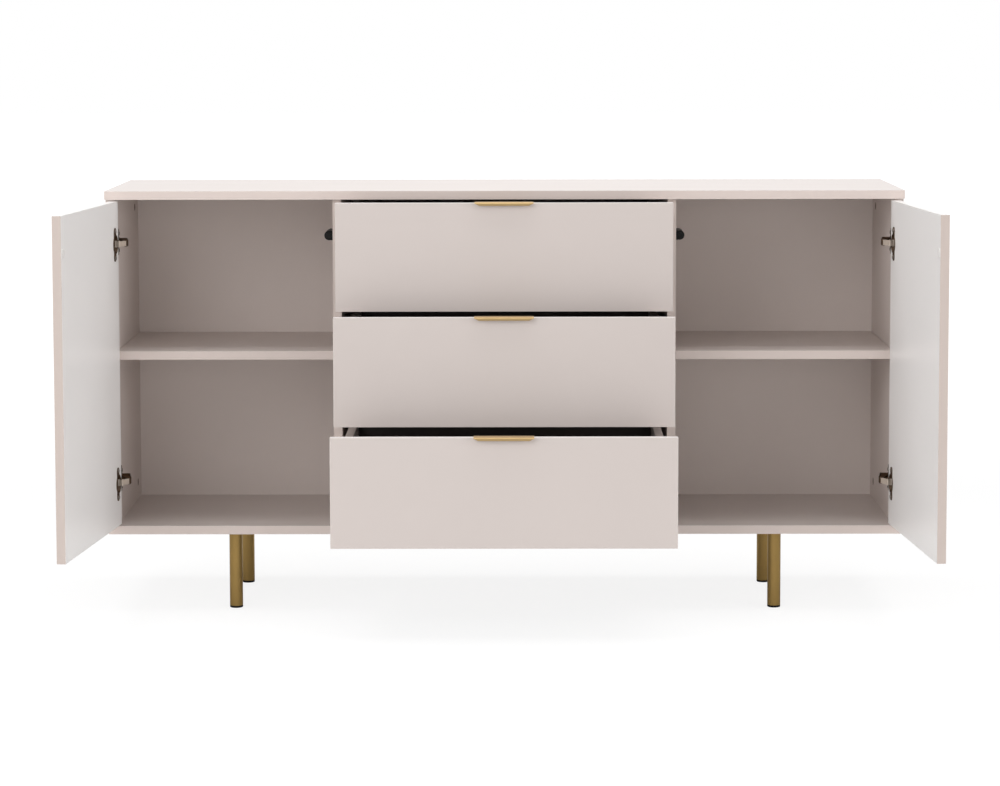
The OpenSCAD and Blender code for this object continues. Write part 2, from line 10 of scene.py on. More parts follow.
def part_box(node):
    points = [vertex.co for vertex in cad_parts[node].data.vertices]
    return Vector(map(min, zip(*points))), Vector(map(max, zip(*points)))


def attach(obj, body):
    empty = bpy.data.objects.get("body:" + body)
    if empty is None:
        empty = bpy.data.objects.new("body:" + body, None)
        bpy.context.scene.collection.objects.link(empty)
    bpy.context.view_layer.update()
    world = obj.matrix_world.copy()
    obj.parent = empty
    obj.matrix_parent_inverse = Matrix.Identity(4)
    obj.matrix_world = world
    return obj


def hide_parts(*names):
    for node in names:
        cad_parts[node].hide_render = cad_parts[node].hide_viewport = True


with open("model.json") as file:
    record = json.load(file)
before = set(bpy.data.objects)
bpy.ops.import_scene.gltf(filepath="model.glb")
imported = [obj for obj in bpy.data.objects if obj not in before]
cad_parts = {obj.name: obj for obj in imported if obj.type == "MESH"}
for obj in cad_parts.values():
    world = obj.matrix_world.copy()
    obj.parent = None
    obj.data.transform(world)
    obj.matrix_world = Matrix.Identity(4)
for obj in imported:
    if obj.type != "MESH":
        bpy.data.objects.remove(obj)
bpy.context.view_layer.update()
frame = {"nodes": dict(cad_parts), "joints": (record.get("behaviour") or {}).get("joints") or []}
nodes = frame["nodes"]
joints = {joint["name"]: joint for joint in frame["joints"]}
scene = bpy.context.scene
mm = 0.001
sides = ("left", "right")
drawers = ("top", "middle", "bottom")
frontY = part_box("top_panel")[0].y  # front edge of the closed cabinet


# Camera, floor and light, in metres and degrees

camera = dict(
    place=(0.0258, -5.7073, 1.1245), yaw=-0.34, pitch=5.161, roll=-0.105,
    lens=110.09, shiftDown=0.10, clipEnd=60.0,
)
studio = dict(
    ambient=0.28, floorTone=0.86, floorShare=0.75, floorGlow=1.12,
    clearFrom=1.7, clearTo=3.4, floorSize=60.0,
)
# a lamp with mirrored=False lights the cabinet but doesn't show in its gloss
lamps = dict(
    overhead=dict(size=(3.6, 2.2), place=(0.0, 0.2, 3.0), aim=(0.0, 0.2, 0.8), power=64.0),
    key=dict(size=(1.4, 1.4), place=(-1.7, -3.2, 2.0), aim=(0.0, 0.0, 0.45), power=21.0),
    high=dict(size=(4.0, 1.4), place=(0.0, -2.6, 2.6), aim=(0.0, 0.0, 0.45), power=8.0),
    low=dict(size=(5.0, 1.2), place=(0.0, -4.6, 0.9), aim=(0.0, 0.0, 0.5), power=22.0, mirrored=False),
    sideLeft=dict(
        size=(1.8, 2.0), place=(-3.2, -2.2, 1.2), aim=(0.3, -0.1, 0.5), power=32.0, mirrored=False,
    ),
    sideRight=dict(
        size=(1.8, 2.0), place=(3.2, -2.2, 1.2), aim=(-0.3, -0.1, 0.5), power=39.0, mirrored=False,
    ),
)


def addObject(name, data):
    thing = bpy.data.objects.new(name, data)
    scene.collection.objects.link(thing)
    return thing


def clearTree(owner):
    owner.use_nodes = True
    owner.node_tree.nodes.clear()
    return owner.node_tree


def toMesh(name, bm):
    mesh = bpy.data.meshes.new(name)
    bm.to_mesh(mesh)
    bm.free()
    return mesh


def addCamera():
    yaw, pitch, roll = (math.radians(camera[key]) for key in ("yaw", "pitch", "roll"))
    ahead = Vector((math.sin(yaw) * math.cos(pitch), math.cos(yaw) * math.cos(pitch), -math.sin(pitch)))
    level = Vector((math.cos(yaw), -math.sin(yaw), 0.0))
    upward = level.cross(ahead)
    right = level * math.cos(roll) + upward * math.sin(roll)
    above = upward * math.cos(roll) - level * math.sin(roll)
    data = bpy.data.cameras.new("frontCamera")
    data.lens = camera["lens"]
    data.shift_y = -camera["shiftDown"]
    data.clip_end = camera["clipEnd"]
    scene.camera = addObject("frontCamera", data)
    turn = Matrix((right, above, -ahead)).transposed().to_4x4()
    scene.camera.matrix_world = Matrix.Translation(camera["place"]) @ turn


def addLights():
    for name, lamp in lamps.items():
        data = bpy.data.lights.new(name, "AREA")
        data.shape = "RECTANGLE"
        data.size, data.size_y = lamp["size"]
        data.energy = lamp["power"]
        light = addObject(name, data)
        light.location = lamp["place"]
        light.visible_glossy = lamp.get("mirrored", True)
        light.rotation_euler = (Vector(lamp["aim"]) - light.location).to_track_quat("-Z", "Y").to_euler()

    # plain white where it is seen or mirrored, and a soft light on everything else
    scene.world = bpy.data.worlds.new("whiteStudio")
    tree = clearTree(scene.world)
    seen = seenRays(tree)
    soft = put(tree, "Background", {"Color": (1, 1, 1, 1), "Strength": studio["ambient"]})
    white = put(tree, "Background", {"Color": (1, 1, 1, 1), "Strength": 1.0})
    mixed = put(tree, "MixShader", {0: seen, 1: soft.outputs[0], 2: white.outputs[0]})
    put(tree, "OutputWorld", {"Surface": mixed.outputs[0]})


def addFloor():
    # matt near the cabinet, for its shadow, and turning to plain white away from it
    bm = bmesh.new()
    bm.faces.new(ring(bm, [(x, y, 0) for x, y in rectangle(studio["floorSize"], studio["floorSize"])]))
    mesh = toMesh("studioFloor", bm)
    material = bpy.data.materials.new("floorWhite")
    tree = clearTree(material)
    tone = studio["floorTone"]
    matt = put(tree, "BsdfDiffuse", {"Color": (tone, tone, tone, 1)})
    white = put(tree, "Emission", {"Color": (1, 1, 1, 1), "Strength": studio["floorGlow"]})
    away = put(tree, "VectorMath", {0: put(tree, "TexCoord").outputs["Object"]}, operation="LENGTH")
    clear = put(tree, "MapRange", {
        "Value": away.outputs["Value"], "From Min": studio["clearFrom"], "From Max": studio["clearTo"],
        "To Min": studio["floorShare"], "To Max": 1.0,
    }, interpolation_type="SMOOTHSTEP")
    share = calc(tree, "MULTIPLY", put(tree, "LightPath").outputs["Is Camera Ray"], clear.outputs[0])
    mixed = put(tree, "MixShader", {0: share, 1: matt.outputs[0], 2: white.outputs[0]})
    put(tree, "OutputMaterial", {"Surface": mixed.outputs[0]})
    mesh.materials.append(material)
    ground = addObject("studioFloor", mesh)


# Node helpers

def put(tree, kind, inputs=None, **settings):
    node = tree.nodes.new("ShaderNode" + kind)
    for key, value in settings.items():
        setattr(node, key, value)
    for key, value in (inputs or {}).items():
        if isinstance(value, bpy.types.NodeSocket):
            tree.links.new(value, node.inputs[key])
        else:
            node.inputs[key].default_value = value
    return node


def calc(tree, operation, *values, clamp=False):
    return put(tree, "Math", dict(enumerate(values)), operation=operation, use_clamp=clamp).outputs[0]


def remap(tree, value, start, full):
    # 0 up to start, 1 from full on
    return put(tree, "MapRange", {"Value": value, "From Min": start, "From Max": full}).outputs[0]


def seenRays(tree):
    rays = put(tree, "LightPath").outputs
    first = calc(tree, "MAXIMUM", rays["Is Camera Ray"], rays["Is Glossy Ray"])
    return calc(tree, "MAXIMUM", first, rays["Is Transmission Ray"])


def newGroup(name, inputs, outputs):
    group = bpy.data.node_groups.new(name, "ShaderNodeTree")
    for label, value in inputs.items():
        kind = "NodeSocketVector" if isinstance(value, tuple) else "NodeSocketFloat"
        group.interface.new_socket(name=label, in_out="INPUT", socket_type=kind).default_value = value
    for label in outputs:
        group.interface.new_socket(name=label, in_out="OUTPUT", socket_type="NodeSocketFloat")
    return group, group.nodes.new("NodeGroupInput").outputs, group.nodes.new("NodeGroupOutput").inputs


def objectNoise(group, size, detail=3.0, roughness=0.55, stretch=None):
    vector = put(group, "TexCoord").outputs["Object"]
    if stretch is not None:
        vector = put(group, "VectorMath", {0: vector, 1: stretch}, operation="MULTIPLY").outputs[0]
    scale = calc(group, "DIVIDE", 1.0, size)
    inputs = {"Vector": vector, "Scale": scale, "Detail": detail, "Roughness": roughness}
    return put(group, "TexNoise", inputs).outputs["Fac"]


def drifting(group, noise, amount, middle):
    # noise lies around 0.5, and this lies around middle
    return calc(group, "MULTIPLY_ADD", calc(group, "SUBTRACT", noise, 0.5), amount, middle)


# Shared effects. Each mask runs from its first value here, where it is 0, to its second, where it is 1.

masks = dict(upward=(0.7, 0.98), dustPatch=(0.3, 0.75), facing=(0.9, 0.98), edge=(0.45, 0.3))
edgeMaskShape = dict(sharpness=6.0, spread=0.3, samples=4)
wipeStretch = (0.45, 1.0, 1.6)


def makeToneClouds():
    # slow drift of tone over a surface, around 1
    group, given, result = newGroup("toneClouds", {"Size": 0.2, "Contrast": 0.04}, ["Tone"])
    tone = drifting(group, objectNoise(group, given["Size"]), given["Contrast"], 1.0)
    group.links.new(tone, result["Tone"])
    return group


def makeSkinHeight():
    # ripple of a sprayed or pressed skin, with a finer grain on it, in metres
    group, given, result = newGroup("skinHeight", {
        "Ripple Size": 0.004, "Ripple": 0.00001, "Grain Size": 0.0005, "Grain": 0.000003,
    }, ["Height"])
    ripple = objectNoise(group, given["Ripple Size"], detail=1.0)
    grain = objectNoise(group, given["Grain Size"], detail=2.0)
    rippled = calc(group, "MULTIPLY", ripple, given["Ripple"])
    group.links.new(calc(group, "MULTIPLY_ADD", grain, given["Grain"], rippled), result["Height"])
    return group


def makeEdgeWearAndHighlight():
    # mask of the outer edges, broken up by patches, for wear; the sprayed finishes also use it for a
    # painted highlight
    group, given, result = newGroup("edgeWearAndHighlight", {
        "Radius": 0.0012, "Strength": 1.0, "Patch Size": 0.03, "Bare Until": 0.35,
    }, ["Mask"])
    softened = put(group, "Bevel", {"Radius": given["Radius"]}, samples=edgeMaskShape["samples"]).outputs[0]
    normal = put(group, "NewGeometry").outputs["Normal"]
    match = put(group, "VectorMath", {0: softened, 1: normal}, operation="DOT_PRODUCT").outputs["Value"]
    edge = calc(group, "MULTIPLY", calc(group, "SUBTRACT", 1.0, match), edgeMaskShape["sharpness"], clamp=True)
    patches = objectNoise(group, given["Patch Size"], detail=4.0, roughness=0.65)
    full = calc(group, "ADD", given["Bare Until"], edgeMaskShape["spread"])
    worn = calc(group, "MULTIPLY", edge, remap(group, patches, given["Bare Until"], full))
    group.links.new(calc(group, "MULTIPLY", worn, given["Strength"], clamp=True), result["Mask"])
    return group


def makeRestingDust():
    # thin dust on what faces up
    group, given, result = newGroup("restingDust", {"Amount": 0.1, "Patch Size": 0.08}, ["Mask"])
    normal = put(group, "SeparateXYZ", {0: put(group, "NewGeometry").outputs["Normal"]})
    upward = remap(group, normal.outputs["Z"], *masks["upward"])
    patches = objectNoise(group, given["Patch Size"], detail=5.0, roughness=0.7)
    both = calc(group, "MULTIPLY", upward, remap(group, patches, *masks["dustPatch"]))
    group.links.new(calc(group, "MULTIPLY", both, given["Amount"], clamp=True), result["Mask"])
    return group


def makeTouchMarks():
    # wiped and touched places, which change how a finish shines
    group, given, result = newGroup("touchMarks", {"Size": 0.06, "Amount": 0.06}, ["Change"])
    wiped = objectNoise(group, given["Size"], detail=4.0, roughness=0.6, stretch=wipeStretch)
    group.links.new(drifting(group, wiped, given["Amount"], 0.0), result["Change"])
    return group


def makeBrushLines():
    # fine lines of a brushed or drawn metal, long where Stretch is small
    group, given, result = newGroup("brushLines", {
        "Stretch": (1.0, 1.0, 1.0), "Line Size": 0.0004, "Contrast": 0.1, "Depth": 0.000002,
    }, ["Tone", "Height"])
    lines = objectNoise(group, given["Line Size"], detail=2.0, roughness=0.7, stretch=given["Stretch"])
    group.links.new(drifting(group, lines, given["Contrast"], 1.0), result["Tone"])
    group.links.new(calc(group, "MULTIPLY", lines, given["Depth"]), result["Height"])
    return group


def makeFacing():
    # Mask: faces that look along Direction in the piece's own frame. Edge: faces square to it.
    group, given, result = newGroup("facing", {"Direction": (0.0, 0.0, 1.0)}, ["Mask", "Edge"])
    normal = put(group, "TexCoord").outputs["Normal"]
    match = put(group, "VectorMath", {0: normal, 1: given["Direction"]}, operation="DOT_PRODUCT")
    along = match.outputs["Value"]
    group.links.new(remap(group, along, *masks["facing"]), result["Mask"])
    group.links.new(remap(group, calc(group, "ABSOLUTE", along), *masks["edge"]), result["Edge"])
    return group


effects = {group.name: group for group in (
    makeToneClouds(), makeSkinHeight(), makeEdgeWearAndHighlight(), makeRestingDust(),
    makeTouchMarks(), makeBrushLines(), makeFacing(),
)}
print("shared effects made:", len(effects))


def effect(tree, name, **values):
    # patchSize sets the group's input Patch Size, and so on
    node = tree.nodes.new("ShaderNodeGroup")
    node.node_tree = effects[name]
    for key, value in values.items():
        label = "".join(" " + c if c.isupper() else c for c in key).title()
        node.inputs[label].default_value = value
    return node.outputs


def scaled(tree, colour, tone):
    inputs = {0: 1.0, 6: colour, 7: tone}
    return put(tree, "Mix", inputs, data_type="RGBA", blend_type="MULTIPLY").outputs[2]


def blended(tree, mask, first, second):
    return put(tree, "Mix", {0: mask, 6: first, 7: second}, data_type="RGBA").outputs[2]


def startMaterial(name):
    material = bpy.data.materials.new(name)
    tree = clearTree(material)
    shader = put(tree, "BsdfPrincipled")
    put(tree, "OutputMaterial", {"Surface": shader.outputs[0]})
    return material, tree, shader


def setHeight(tree, shader, height):
    bump = put(tree, "Bump", {"Height": height, "Strength": 1.0, "Distance": 1.0})
    tree.links.new(bump.outputs[0], shader.inputs["Normal"])


def setRoughness(tree, shader, base, size, amount):
    change = effect(tree, "touchMarks", size=size, amount=amount)["Change"]
    tree.links.new(calc(tree, "ADD", base, change, clamp=True), shader.inputs["Roughness"])


# Finishes

greige = (0.630, 0.562, 0.531)
innerGreige = (0.690, 0.615, 0.578)
# painted light: the back panel's inner face is paler than the same board elsewhere, to stand in for more
# light inside the cabinet
paintedLightBack = (0.77, 0.69, 0.65)
topBand = (0.70, 0.60, 0.555)
frontBand = (0.74, 0.68, 0.65)
# painted light: up-facing faces of the drawer fronts are paler, as if lit from above
frontPaintedLitTop = (0.80, 0.765, 0.755)
doorBand = (0.60, 0.51, 0.465)
# painted light: up-facing faces of the doors are paler, as if lit from above
doorPaintedLitTop = (0.86, 0.84, 0.825)
innerBand = (0.68, 0.585, 0.54)
paleInner = (0.90, 0.88, 0.868)
paleWear = (0.76, 0.71, 0.68)
paleDust = (0.80, 0.78, 0.75)
darkDust = (0.4, 0.39, 0.37)
# painted shade: the drawer backs and bases are near black, to stand in for the deep shade inside the
# drawers; their bands and worn edges are dark to match
paintedShadeBoard = (0.024, 0.018, 0.016)
paintedShadeBand = (0.03, 0.023, 0.02)
paintedShadeBoardWear = (0.07, 0.055, 0.05)
sprayed = dict(rough=0.34, coat=0.12)
pressed = dict(ripple=3e-6, grain=3e-6)
# edges of the sprayed finishes: the pale worn colour is partly wear and partly a painted highlight along
# the edges
paintEdgeWearAndHighlight = dict(worn=(0.84, 0.80, 0.77), edge=0.85, edgeWidth=1.4 * mm, bareUntil=0.2)


def lacquer(
    name, colour, across, band, inner=None, paintedLitTop=None, rough=0.36, coat=0.0, ripple=6e-6, grain=1.2e-6,
    dust=0.05, worn=paleWear, edge=0.45, edgeWidth=0.9 * mm, bareUntil=0.35,
):
    # across is the way the board's faces look. band colours its edges, inner the face that looks along
    # across, and upper paints light onto what looks up: painted light, paler as if lit from above.
    material, tree, shader = startMaterial(name)
    facing = effect(tree, "facing", direction=across)
    base = (*colour, 1)
    if inner:
        base = blended(tree, facing["Mask"], base, (*inner, 1))
    base = blended(tree, facing["Edge"], base, (*band, 1))
    # painted light: what looks up is made paler, as if lit from above
    if paintedLitTop:
        base = blended(tree, effect(tree, "facing", direction=(0, 0, 1))["Mask"], base, (*paintedLitTop, 1))
    base = scaled(tree, base, effect(tree, "toneClouds", size=0.22, contrast=0.035)["Tone"])
    # the outer edges take worn: wear, and with the strong settings of the sprayed finishes also a painted
    # highlight
    wornAndLitEdge = effect(
        tree, "edgeWearAndHighlight", radius=edgeWidth, strength=edge, patchSize=0.05, bareUntil=bareUntil,
    )["Mask"]
    base = blended(tree, wornAndLitEdge, base, (*worn, 1))
    dusty = effect(tree, "restingDust", amount=dust, patchSize=0.12)["Mask"]
    base = blended(tree, dusty, base, (*paleDust, 1))
    tree.links.new(base, shader.inputs["Base Color"])
    setRoughness(tree, shader, rough, size=0.09, amount=0.10)
    shader.inputs["Coat Weight"].default_value = coat
    shader.inputs["Coat Roughness"].default_value = 0.22
    skin = effect(
        tree, "skinHeight", rippleSize=2.4 * mm, ripple=ripple, grainSize=0.35 * mm, grain=grain,
    )
    setHeight(tree, shader, skin["Height"])
    return material


def metal(
    name, colour, rough=0.3, stretch=(1.0, 1.0, 1.0), line=0.4 * mm, contrast=0.12, depth=1.5e-6,
    worn=None, bare=1.0, rim=(1.0, 1.0, 1.0),
):
    # bare is how metallic it looks, and rim is the tint of its glancing reflections
    material, tree, shader = startMaterial(name)
    lines = effect(tree, "brushLines", stretch=stretch, lineSize=line, contrast=contrast, depth=depth)
    base = scaled(tree, (*colour, 1), lines["Tone"])
    base = scaled(tree, base, effect(tree, "toneClouds", size=0.025, contrast=0.06)["Tone"])
    if worn:
        wornAndLitEdge = effect(tree, "edgeWearAndHighlight", radius=0.4 * mm, strength=0.6, patchSize=0.008)["Mask"]
        base = blended(tree, wornAndLitEdge, base, (*worn, 1))
    tree.links.new(base, shader.inputs["Base Color"])
    shader.inputs["Metallic"].default_value = bare
    shader.inputs["Specular Tint"].default_value = (*rim, 1)
    setRoughness(tree, shader, rough, size=0.02, amount=0.12)
    setHeight(tree, shader, lines["Height"])
    return material


def plastic(name, colour, rough=0.5, grain=6e-6, dust=0.08, shine=0.2):
    material, tree, shader = startMaterial(name)
    base = scaled(tree, (*colour, 1), effect(tree, "toneClouds", size=0.02, contrast=0.25)["Tone"])
    wornAndLitEdge = effect(tree, "edgeWearAndHighlight", radius=0.5 * mm, strength=0.35, patchSize=0.006)["Mask"]
    paler = [min(1, 2.6 * c + 0.02) for c in colour]
    base = blended(tree, wornAndLitEdge, base, (*paler, 1))
    dusty = effect(tree, "restingDust", amount=dust, patchSize=0.01)["Mask"]
    base = blended(tree, dusty, base, (*darkDust, 1))
    tree.links.new(base, shader.inputs["Base Color"])
    shader.inputs["Specular IOR Level"].default_value = shine
    setRoughness(tree, shader, rough, size=0.015, amount=0.14)
    skin = effect(tree, "skinHeight", rippleSize=mm, ripple=grain, grainSize=0.2 * mm, grain=grain / 2)
    setHeight(tree, shader, skin["Height"])
    return material


def rawWood(name, colour):
    material, tree, shader = startMaterial(name)
    lines = effect(
        tree, "brushLines", stretch=(1.0, 1.0, 0.06), lineSize=1.2 * mm, contrast=0.5, depth=2e-5,
    )
    tree.links.new(scaled(tree, (*colour, 1), lines["Tone"]), shader.inputs["Base Color"])
    setRoughness(tree, shader, 0.7, size=0.01, amount=0.1)
    setHeight(tree, shader, lines["Height"])
    return material


def openAngle(side):
    return -joints[f"{side}_door_hinge"]["range_deg"][0]


def innerFace(side):
    # the way the inner face looks: straight back when closed, here turned with the open door
    turn = math.radians(openAngle(side))
    way = 1 if side == "left" else -1
    return (way * math.sin(turn), math.cos(turn), 0.0)


# by the slot that the CAD node names
finishes = {
    "outer_paint": lacquer("outerLacquer", greige, (0, 0, 1), topBand, **sprayed, **paintEdgeWearAndHighlight),
    "front_paint": lacquer(
        # its up-facing faces take painted light
        "frontLacquer", greige, (0, 1, 0), frontBand, paintedLitTop=frontPaintedLitTop, **sprayed, **paintEdgeWearAndHighlight,
    ),
    "carcass_paint": lacquer(
        "carcassMelamine", innerGreige, (1, 0, 0), innerBand, rough=0.46, **pressed,
    ),
    "back_board": lacquer(
        # its inner face takes paintedLightBack, painted light
        "backMelamine", innerGreige, (0, -1, 0), innerBand, inner=paintedLightBack,
        rough=0.5, ripple=4e-6, grain=3e-6,
    ),
    "drawer_board": lacquer(
        "drawerMelamine", innerGreige, (1, 0, 0), innerBand, rough=0.48, **pressed,
    ),
    # painted shade: dark drawer backs and bases in place of the shade inside the drawers
    "drawer_dark": lacquer(
        "paintedShadeDrawerBoard", paintedShadeBoard, (0, 1, 0), paintedShadeBand, rough=0.55, worn=paintedShadeBoardWear, **pressed,
    ),
    "dowel_wood": rawWood("beechDowel", (0.55, 0.38, 0.22)),
    "gold_metal": metal(
        "goldSatin", (0.45, 0.312, 0.148), rough=0.46, bare=0.85,
        stretch=(0.03, 1.0, 1.0), line=0.25 * mm,
    ),
    "hinge_steel": metal(
        "nickelPlate", (0.62, 0.59, 0.55), rough=0.26, contrast=0.06, worn=(0.8, 0.78, 0.75),
    ),
    "slide_steel": metal(
        "zincRail", (0.58, 0.60, 0.62), rough=0.32, stretch=(1.0, 0.02, 1.0), contrast=0.14,
    ),
    "cam_zinc": metal(
        "castZinc", (0.22, 0.175, 0.14), rough=0.5, line=0.8 * mm, contrast=0.4, depth=2e-5,
    ),
    "plate_black": plastic("blackPowderCoat", (0.018, 0.018, 0.018), rough=0.55, grain=1.5e-5),
    "black_plastic": plastic("blackMoulding", (0.008, 0.008, 0.008), rough=0.36, dust=0.03),
}
# for pieces whose own finish differs from the rest of their slot
ownFinishes = dict(
    legGold=metal(
        "goldLegs", (0.366, 0.240, 0.083), rough=0.38, stretch=(1.0, 1.0, 0.03), line=0.3 * mm,
        contrast=0.08,
    ),
    mattNickel=metal("mattNickel", (0.62, 0.53, 0.45), rough=0.5, contrast=0.05, bare=0.3),
    # painted light: the pivot blocks in the cups are paler than mattNickel, to offset the shade inside the
    # cup
    paintedLightNickel=metal("paintedLightNickel", (0.86, 0.75, 0.64), rough=0.5, contrast=0.05, bare=0.1),
    whiteCoat=plastic("whiteCoat", (0.80, 0.775, 0.755), rough=0.42, grain=3e-6, dust=0.0, shine=0.5),
    # painted shade: hinge cups, arms, plates and link bushes are darkened, with dim glancing reflections,
    # to stand in for the shade and dark reflections on plated nickel
    paintedShadeNickel=metal(
        "paintedShadeNickel", (0.13, 0.09, 0.064), rough=0.46, contrast=0.06, worn=(0.30, 0.24, 0.19),
        rim=(0.42, 0.32, 0.25),
    ),
    darkSteel=metal("darkScrews", (0.26, 0.235, 0.21), rough=0.4, contrast=0.08, rim=(0.5, 0.45, 0.4)),
    shelf=lacquer("shelfMelamine", innerGreige, (0, 0, 1), innerBand, rough=0.46, **pressed),
)
for side in sides:
    ownFinishes[f"{side}Door"] = lacquer(
        f"doorLacquer{side.title()}", greige, innerFace(side), doorBand,
        # its up-facing faces take painted light
        inner=paleInner, paintedLitTop=doorPaintedLitTop, **sprayed,
    )
print("finishes made:", len(finishes) + len(ownFinishes))


# Carried-over boards and small parts, with softened edges

softening = dict(board=0.4 * mm, thinBoard=0.35 * mm, segments=2, angle=40.0, flat=0.5, weld=1e-6)


def addBevel(piece, width):
    bevel = piece.modifiers.new("softEdges", "BEVEL")
    bevel.width = width
    bevel.segments = softening["segments"]
    bevel.limit_method = "ANGLE"
    bevel.angle_limit = math.radians(softening["angle"])
    bevel.harden_normals = False
    piece.modifiers.new("evenShading", "WEIGHTED_NORMAL").keep_sharp = True


def dressNode(name, width=0.0, finish=None):
    node = nodes[name]
    slot = node.data.materials[0].name
    node.data.materials.clear()
    node.data.materials.append(ownFinishes[finish] if finish else finishes[slot])
    node.modifiers.new("joinVertices", "WELD").merge_threshold = softening["weld"]
    merge = node.modifiers.new("wholeFaces", "DECIMATE")
    merge.decimate_type = "DISSOLVE"
    merge.angle_limit = math.radians(softening["flat"])
    if width:
        addBevel(node, width)


def dressBoards():
    boards = dict.fromkeys(["top_panel", "bottom_panel"])
    for side in sides:
        boards.update(dict.fromkeys([f"side_panel_{side}", f"divider_{side}"]))
        boards.update({f"shelf_{side}": "shelf", f"door_{side}": f"{side}Door"})
    for drawer in drawers:
        boards.update(dict.fromkeys(f"drawer_{part}_{drawer}" for part in ("front", "sides", "back")))
    for name, finish in boards.items():
        dressNode(name, softening["board"], finish)
    dressNode("back_panel", softening["thinBoard"])
    print("boards softened:", len(boards) + 1)


# Making pieces. Shapes are drawn in millimetres on the closed left half, front edge at Y 0.

toFrame = Matrix.Translation((0, frontY, 0)) @ Matrix.Scale(mm, 4)
plain = Matrix()
doorThick = 16.0
sideFace, dividerFace, dividerInnerFace = -734.0, -323.0, -307.0
hingeHeights = (249.0, 701.0)
drawerTops = {"bottom": 371.0, "middle": 576.0, "top": 781.0}


def jointLine(name):
    x, y = joints[name]["pos_m"][:2]
    return Vector((x / mm, (y - frontY) / mm, 0))


hingeLine, linkPin = jointLine("left_door_hinge"), jointLine("left_link_pivot")


def onSide(side):
    return plain if side == "left" else Matrix.Scale(-1, 4, (1, 0, 0))


def swung(side):
    turn = Matrix.Rotation(math.radians(-openAngle(side)), 4, "Z")
    return onSide(side) @ Matrix.Translation(hingeLine) @ turn @ Matrix.Translation(-hingeLine)


def pulled(drawer, share=1.0):
    out = -joints[f"{drawer}_drawer_slide"]["range_m"][0] / mm
    return Matrix.Translation((0, -out * share, 0))


def place(x, y, z, axis=None, degrees=0.0):
    turn = Matrix.Rotation(math.radians(degrees), 4, axis) if axis else plain
    return Matrix.Translation((x, y, z)) @ turn


def ring(bm, points, at=plain):
    return [bm.verts.new(at @ Vector(point)) for point in points]


def wall(bm, first, second):
    for i, corner in enumerate(first):
        j = (i + 1) % len(first)
        bm.faces.new((corner, first[j], second[j], second[i]))


def fill(bm, loops):
    if len(loops) == 1:
        bm.faces.new(loops[0])
        return
    corners = [corner for loop in loops for corner in loop]
    for triple in tessellate_polygon([[corner.co for corner in loop] for loop in loops]):
        bm.faces.new([corners[i] for i in triple])


def prism(bm, outlines, low, high, at=plain):
    # the outer outline comes first, then holes
    lows = [ring(bm, [(x, y, low) for x, y in outline], at) for outline in outlines]
    highs = [ring(bm, [(x, y, high) for x, y in outline], at) for outline in outlines]
    for first, second in zip(lows, highs):
        wall(bm, first, second)
    fill(bm, lows)
    fill(bm, highs)


def circle(radius, count=32, centre=(0.0, 0.0)):
    turns = [2 * math.pi * i / count for i in range(count)]
    return [(centre[0] + radius * math.cos(turn), centre[1] + radius * math.sin(turn)) for turn in turns]


def lathe(bm, profile, at=plain, count=40):
    # profile of (radius, height), closed where a radius is 0
    rings = []
    for radius, height in profile:
        flat = circle(radius, count) if radius else [(0.0, 0.0)]
        rings.append(ring(bm, [(x, y, height) for x, y in flat], at))
    for first, second in zip(rings, rings[1:]):
        if len(first) > 1 and len(second) > 1:
            wall(bm, first, second)
            continue
        tip, rim = (first[0], second) if len(first) == 1 else (second[0], first)
        for i, corner in enumerate(rim):
            bm.faces.new((tip, corner, rim[(i + 1) % count]))


def pinProfile(radius, low, high, chamfer):
    return [
        (0, low), (radius - chamfer, low), (radius, low + chamfer),
        (radius, high - chamfer), (radius - chamfer, high), (0, high),
    ]


def rounded(points, radii, steps=4):
    result = []
    for i, point in enumerate(points):
        radius = radii[i] if isinstance(radii, (list, tuple)) else radii
        here, before, after = Vector(point), Vector(points[i - 1]), Vector(points[(i + 1) % len(points)])
        if not radius:
            result.append(tuple(here))
            continue
        back, ahead = (before - here).normalized(), (after - here).normalized()
        half = back.angle(ahead) / 2
        centre = here + (back + ahead).normalized() * (radius / math.sin(half))
        start = here + back * (radius / math.tan(half)) - centre
        end = here + ahead * (radius / math.tan(half)) - centre
        sweep = math.atan2(start.x * end.y - start.y * end.x, start.dot(end))
        for step in range(steps + 1):
            turned = start.copy()
            turned.rotate(Matrix.Rotation(sweep * step / steps, 2))
            result.append(tuple(centre + turned))
    return result


def rectangle(width, height, centre=(0.0, 0.0)):
    x, y = width / 2, height / 2
    return [(centre[0] + a, centre[1] + b) for a, b in ((-x, -y), (x, -y), (x, y), (-x, y))]


def turnedTwice(points):
    # an outline whose second half is the first, turned by 180 degrees
    return points + [(-x, -y) for x, y in points]


def cross(length, width):
    a, b = length / 2, width / 2
    return turnedTwice([(a, b), (b, b), (b, a), (-b, a), (-b, b), (-a, b)])


crossTaper = (0.55, 0.6)  # length and width of the foot of a cross, as shares of its mouth


def crossHead(bm, profile, recess, at):
    # turned head whose last ring is a flat top with a cross sunk into it
    length, width, depth = recess
    radius, top = profile[-1]
    lathe(bm, profile, at, count=32)
    rim = ring(bm, [(x, y, top) for x, y in circle(radius)], at)
    mouth = ring(bm, [(x, y, top) for x, y in cross(length, width)], at)
    low = cross(length * crossTaper[0], width * crossTaper[1])
    foot = ring(bm, [(x, y, top - depth) for x, y in low], at)
    fill(bm, [rim, mouth])
    wall(bm, mouth, foot)
    fill(bm, [foot])


def strip(bm, stations, at=plain):
    # bent sheet across X: each station has its outer and inner point (y, z) and half its width
    rows = []
    for outer, inner, half in stations:
        rows.append(ring(bm, [(-half, *outer), (half, *outer), (half, *inner), (-half, *inner)], at))
    for first, second in zip(rows, rows[1:]):
        wall(bm, first, second)
    bm.faces.new(rows[0])
    bm.faces.new(rows[-1])


mergeWithin = 1e-4  # millimetres


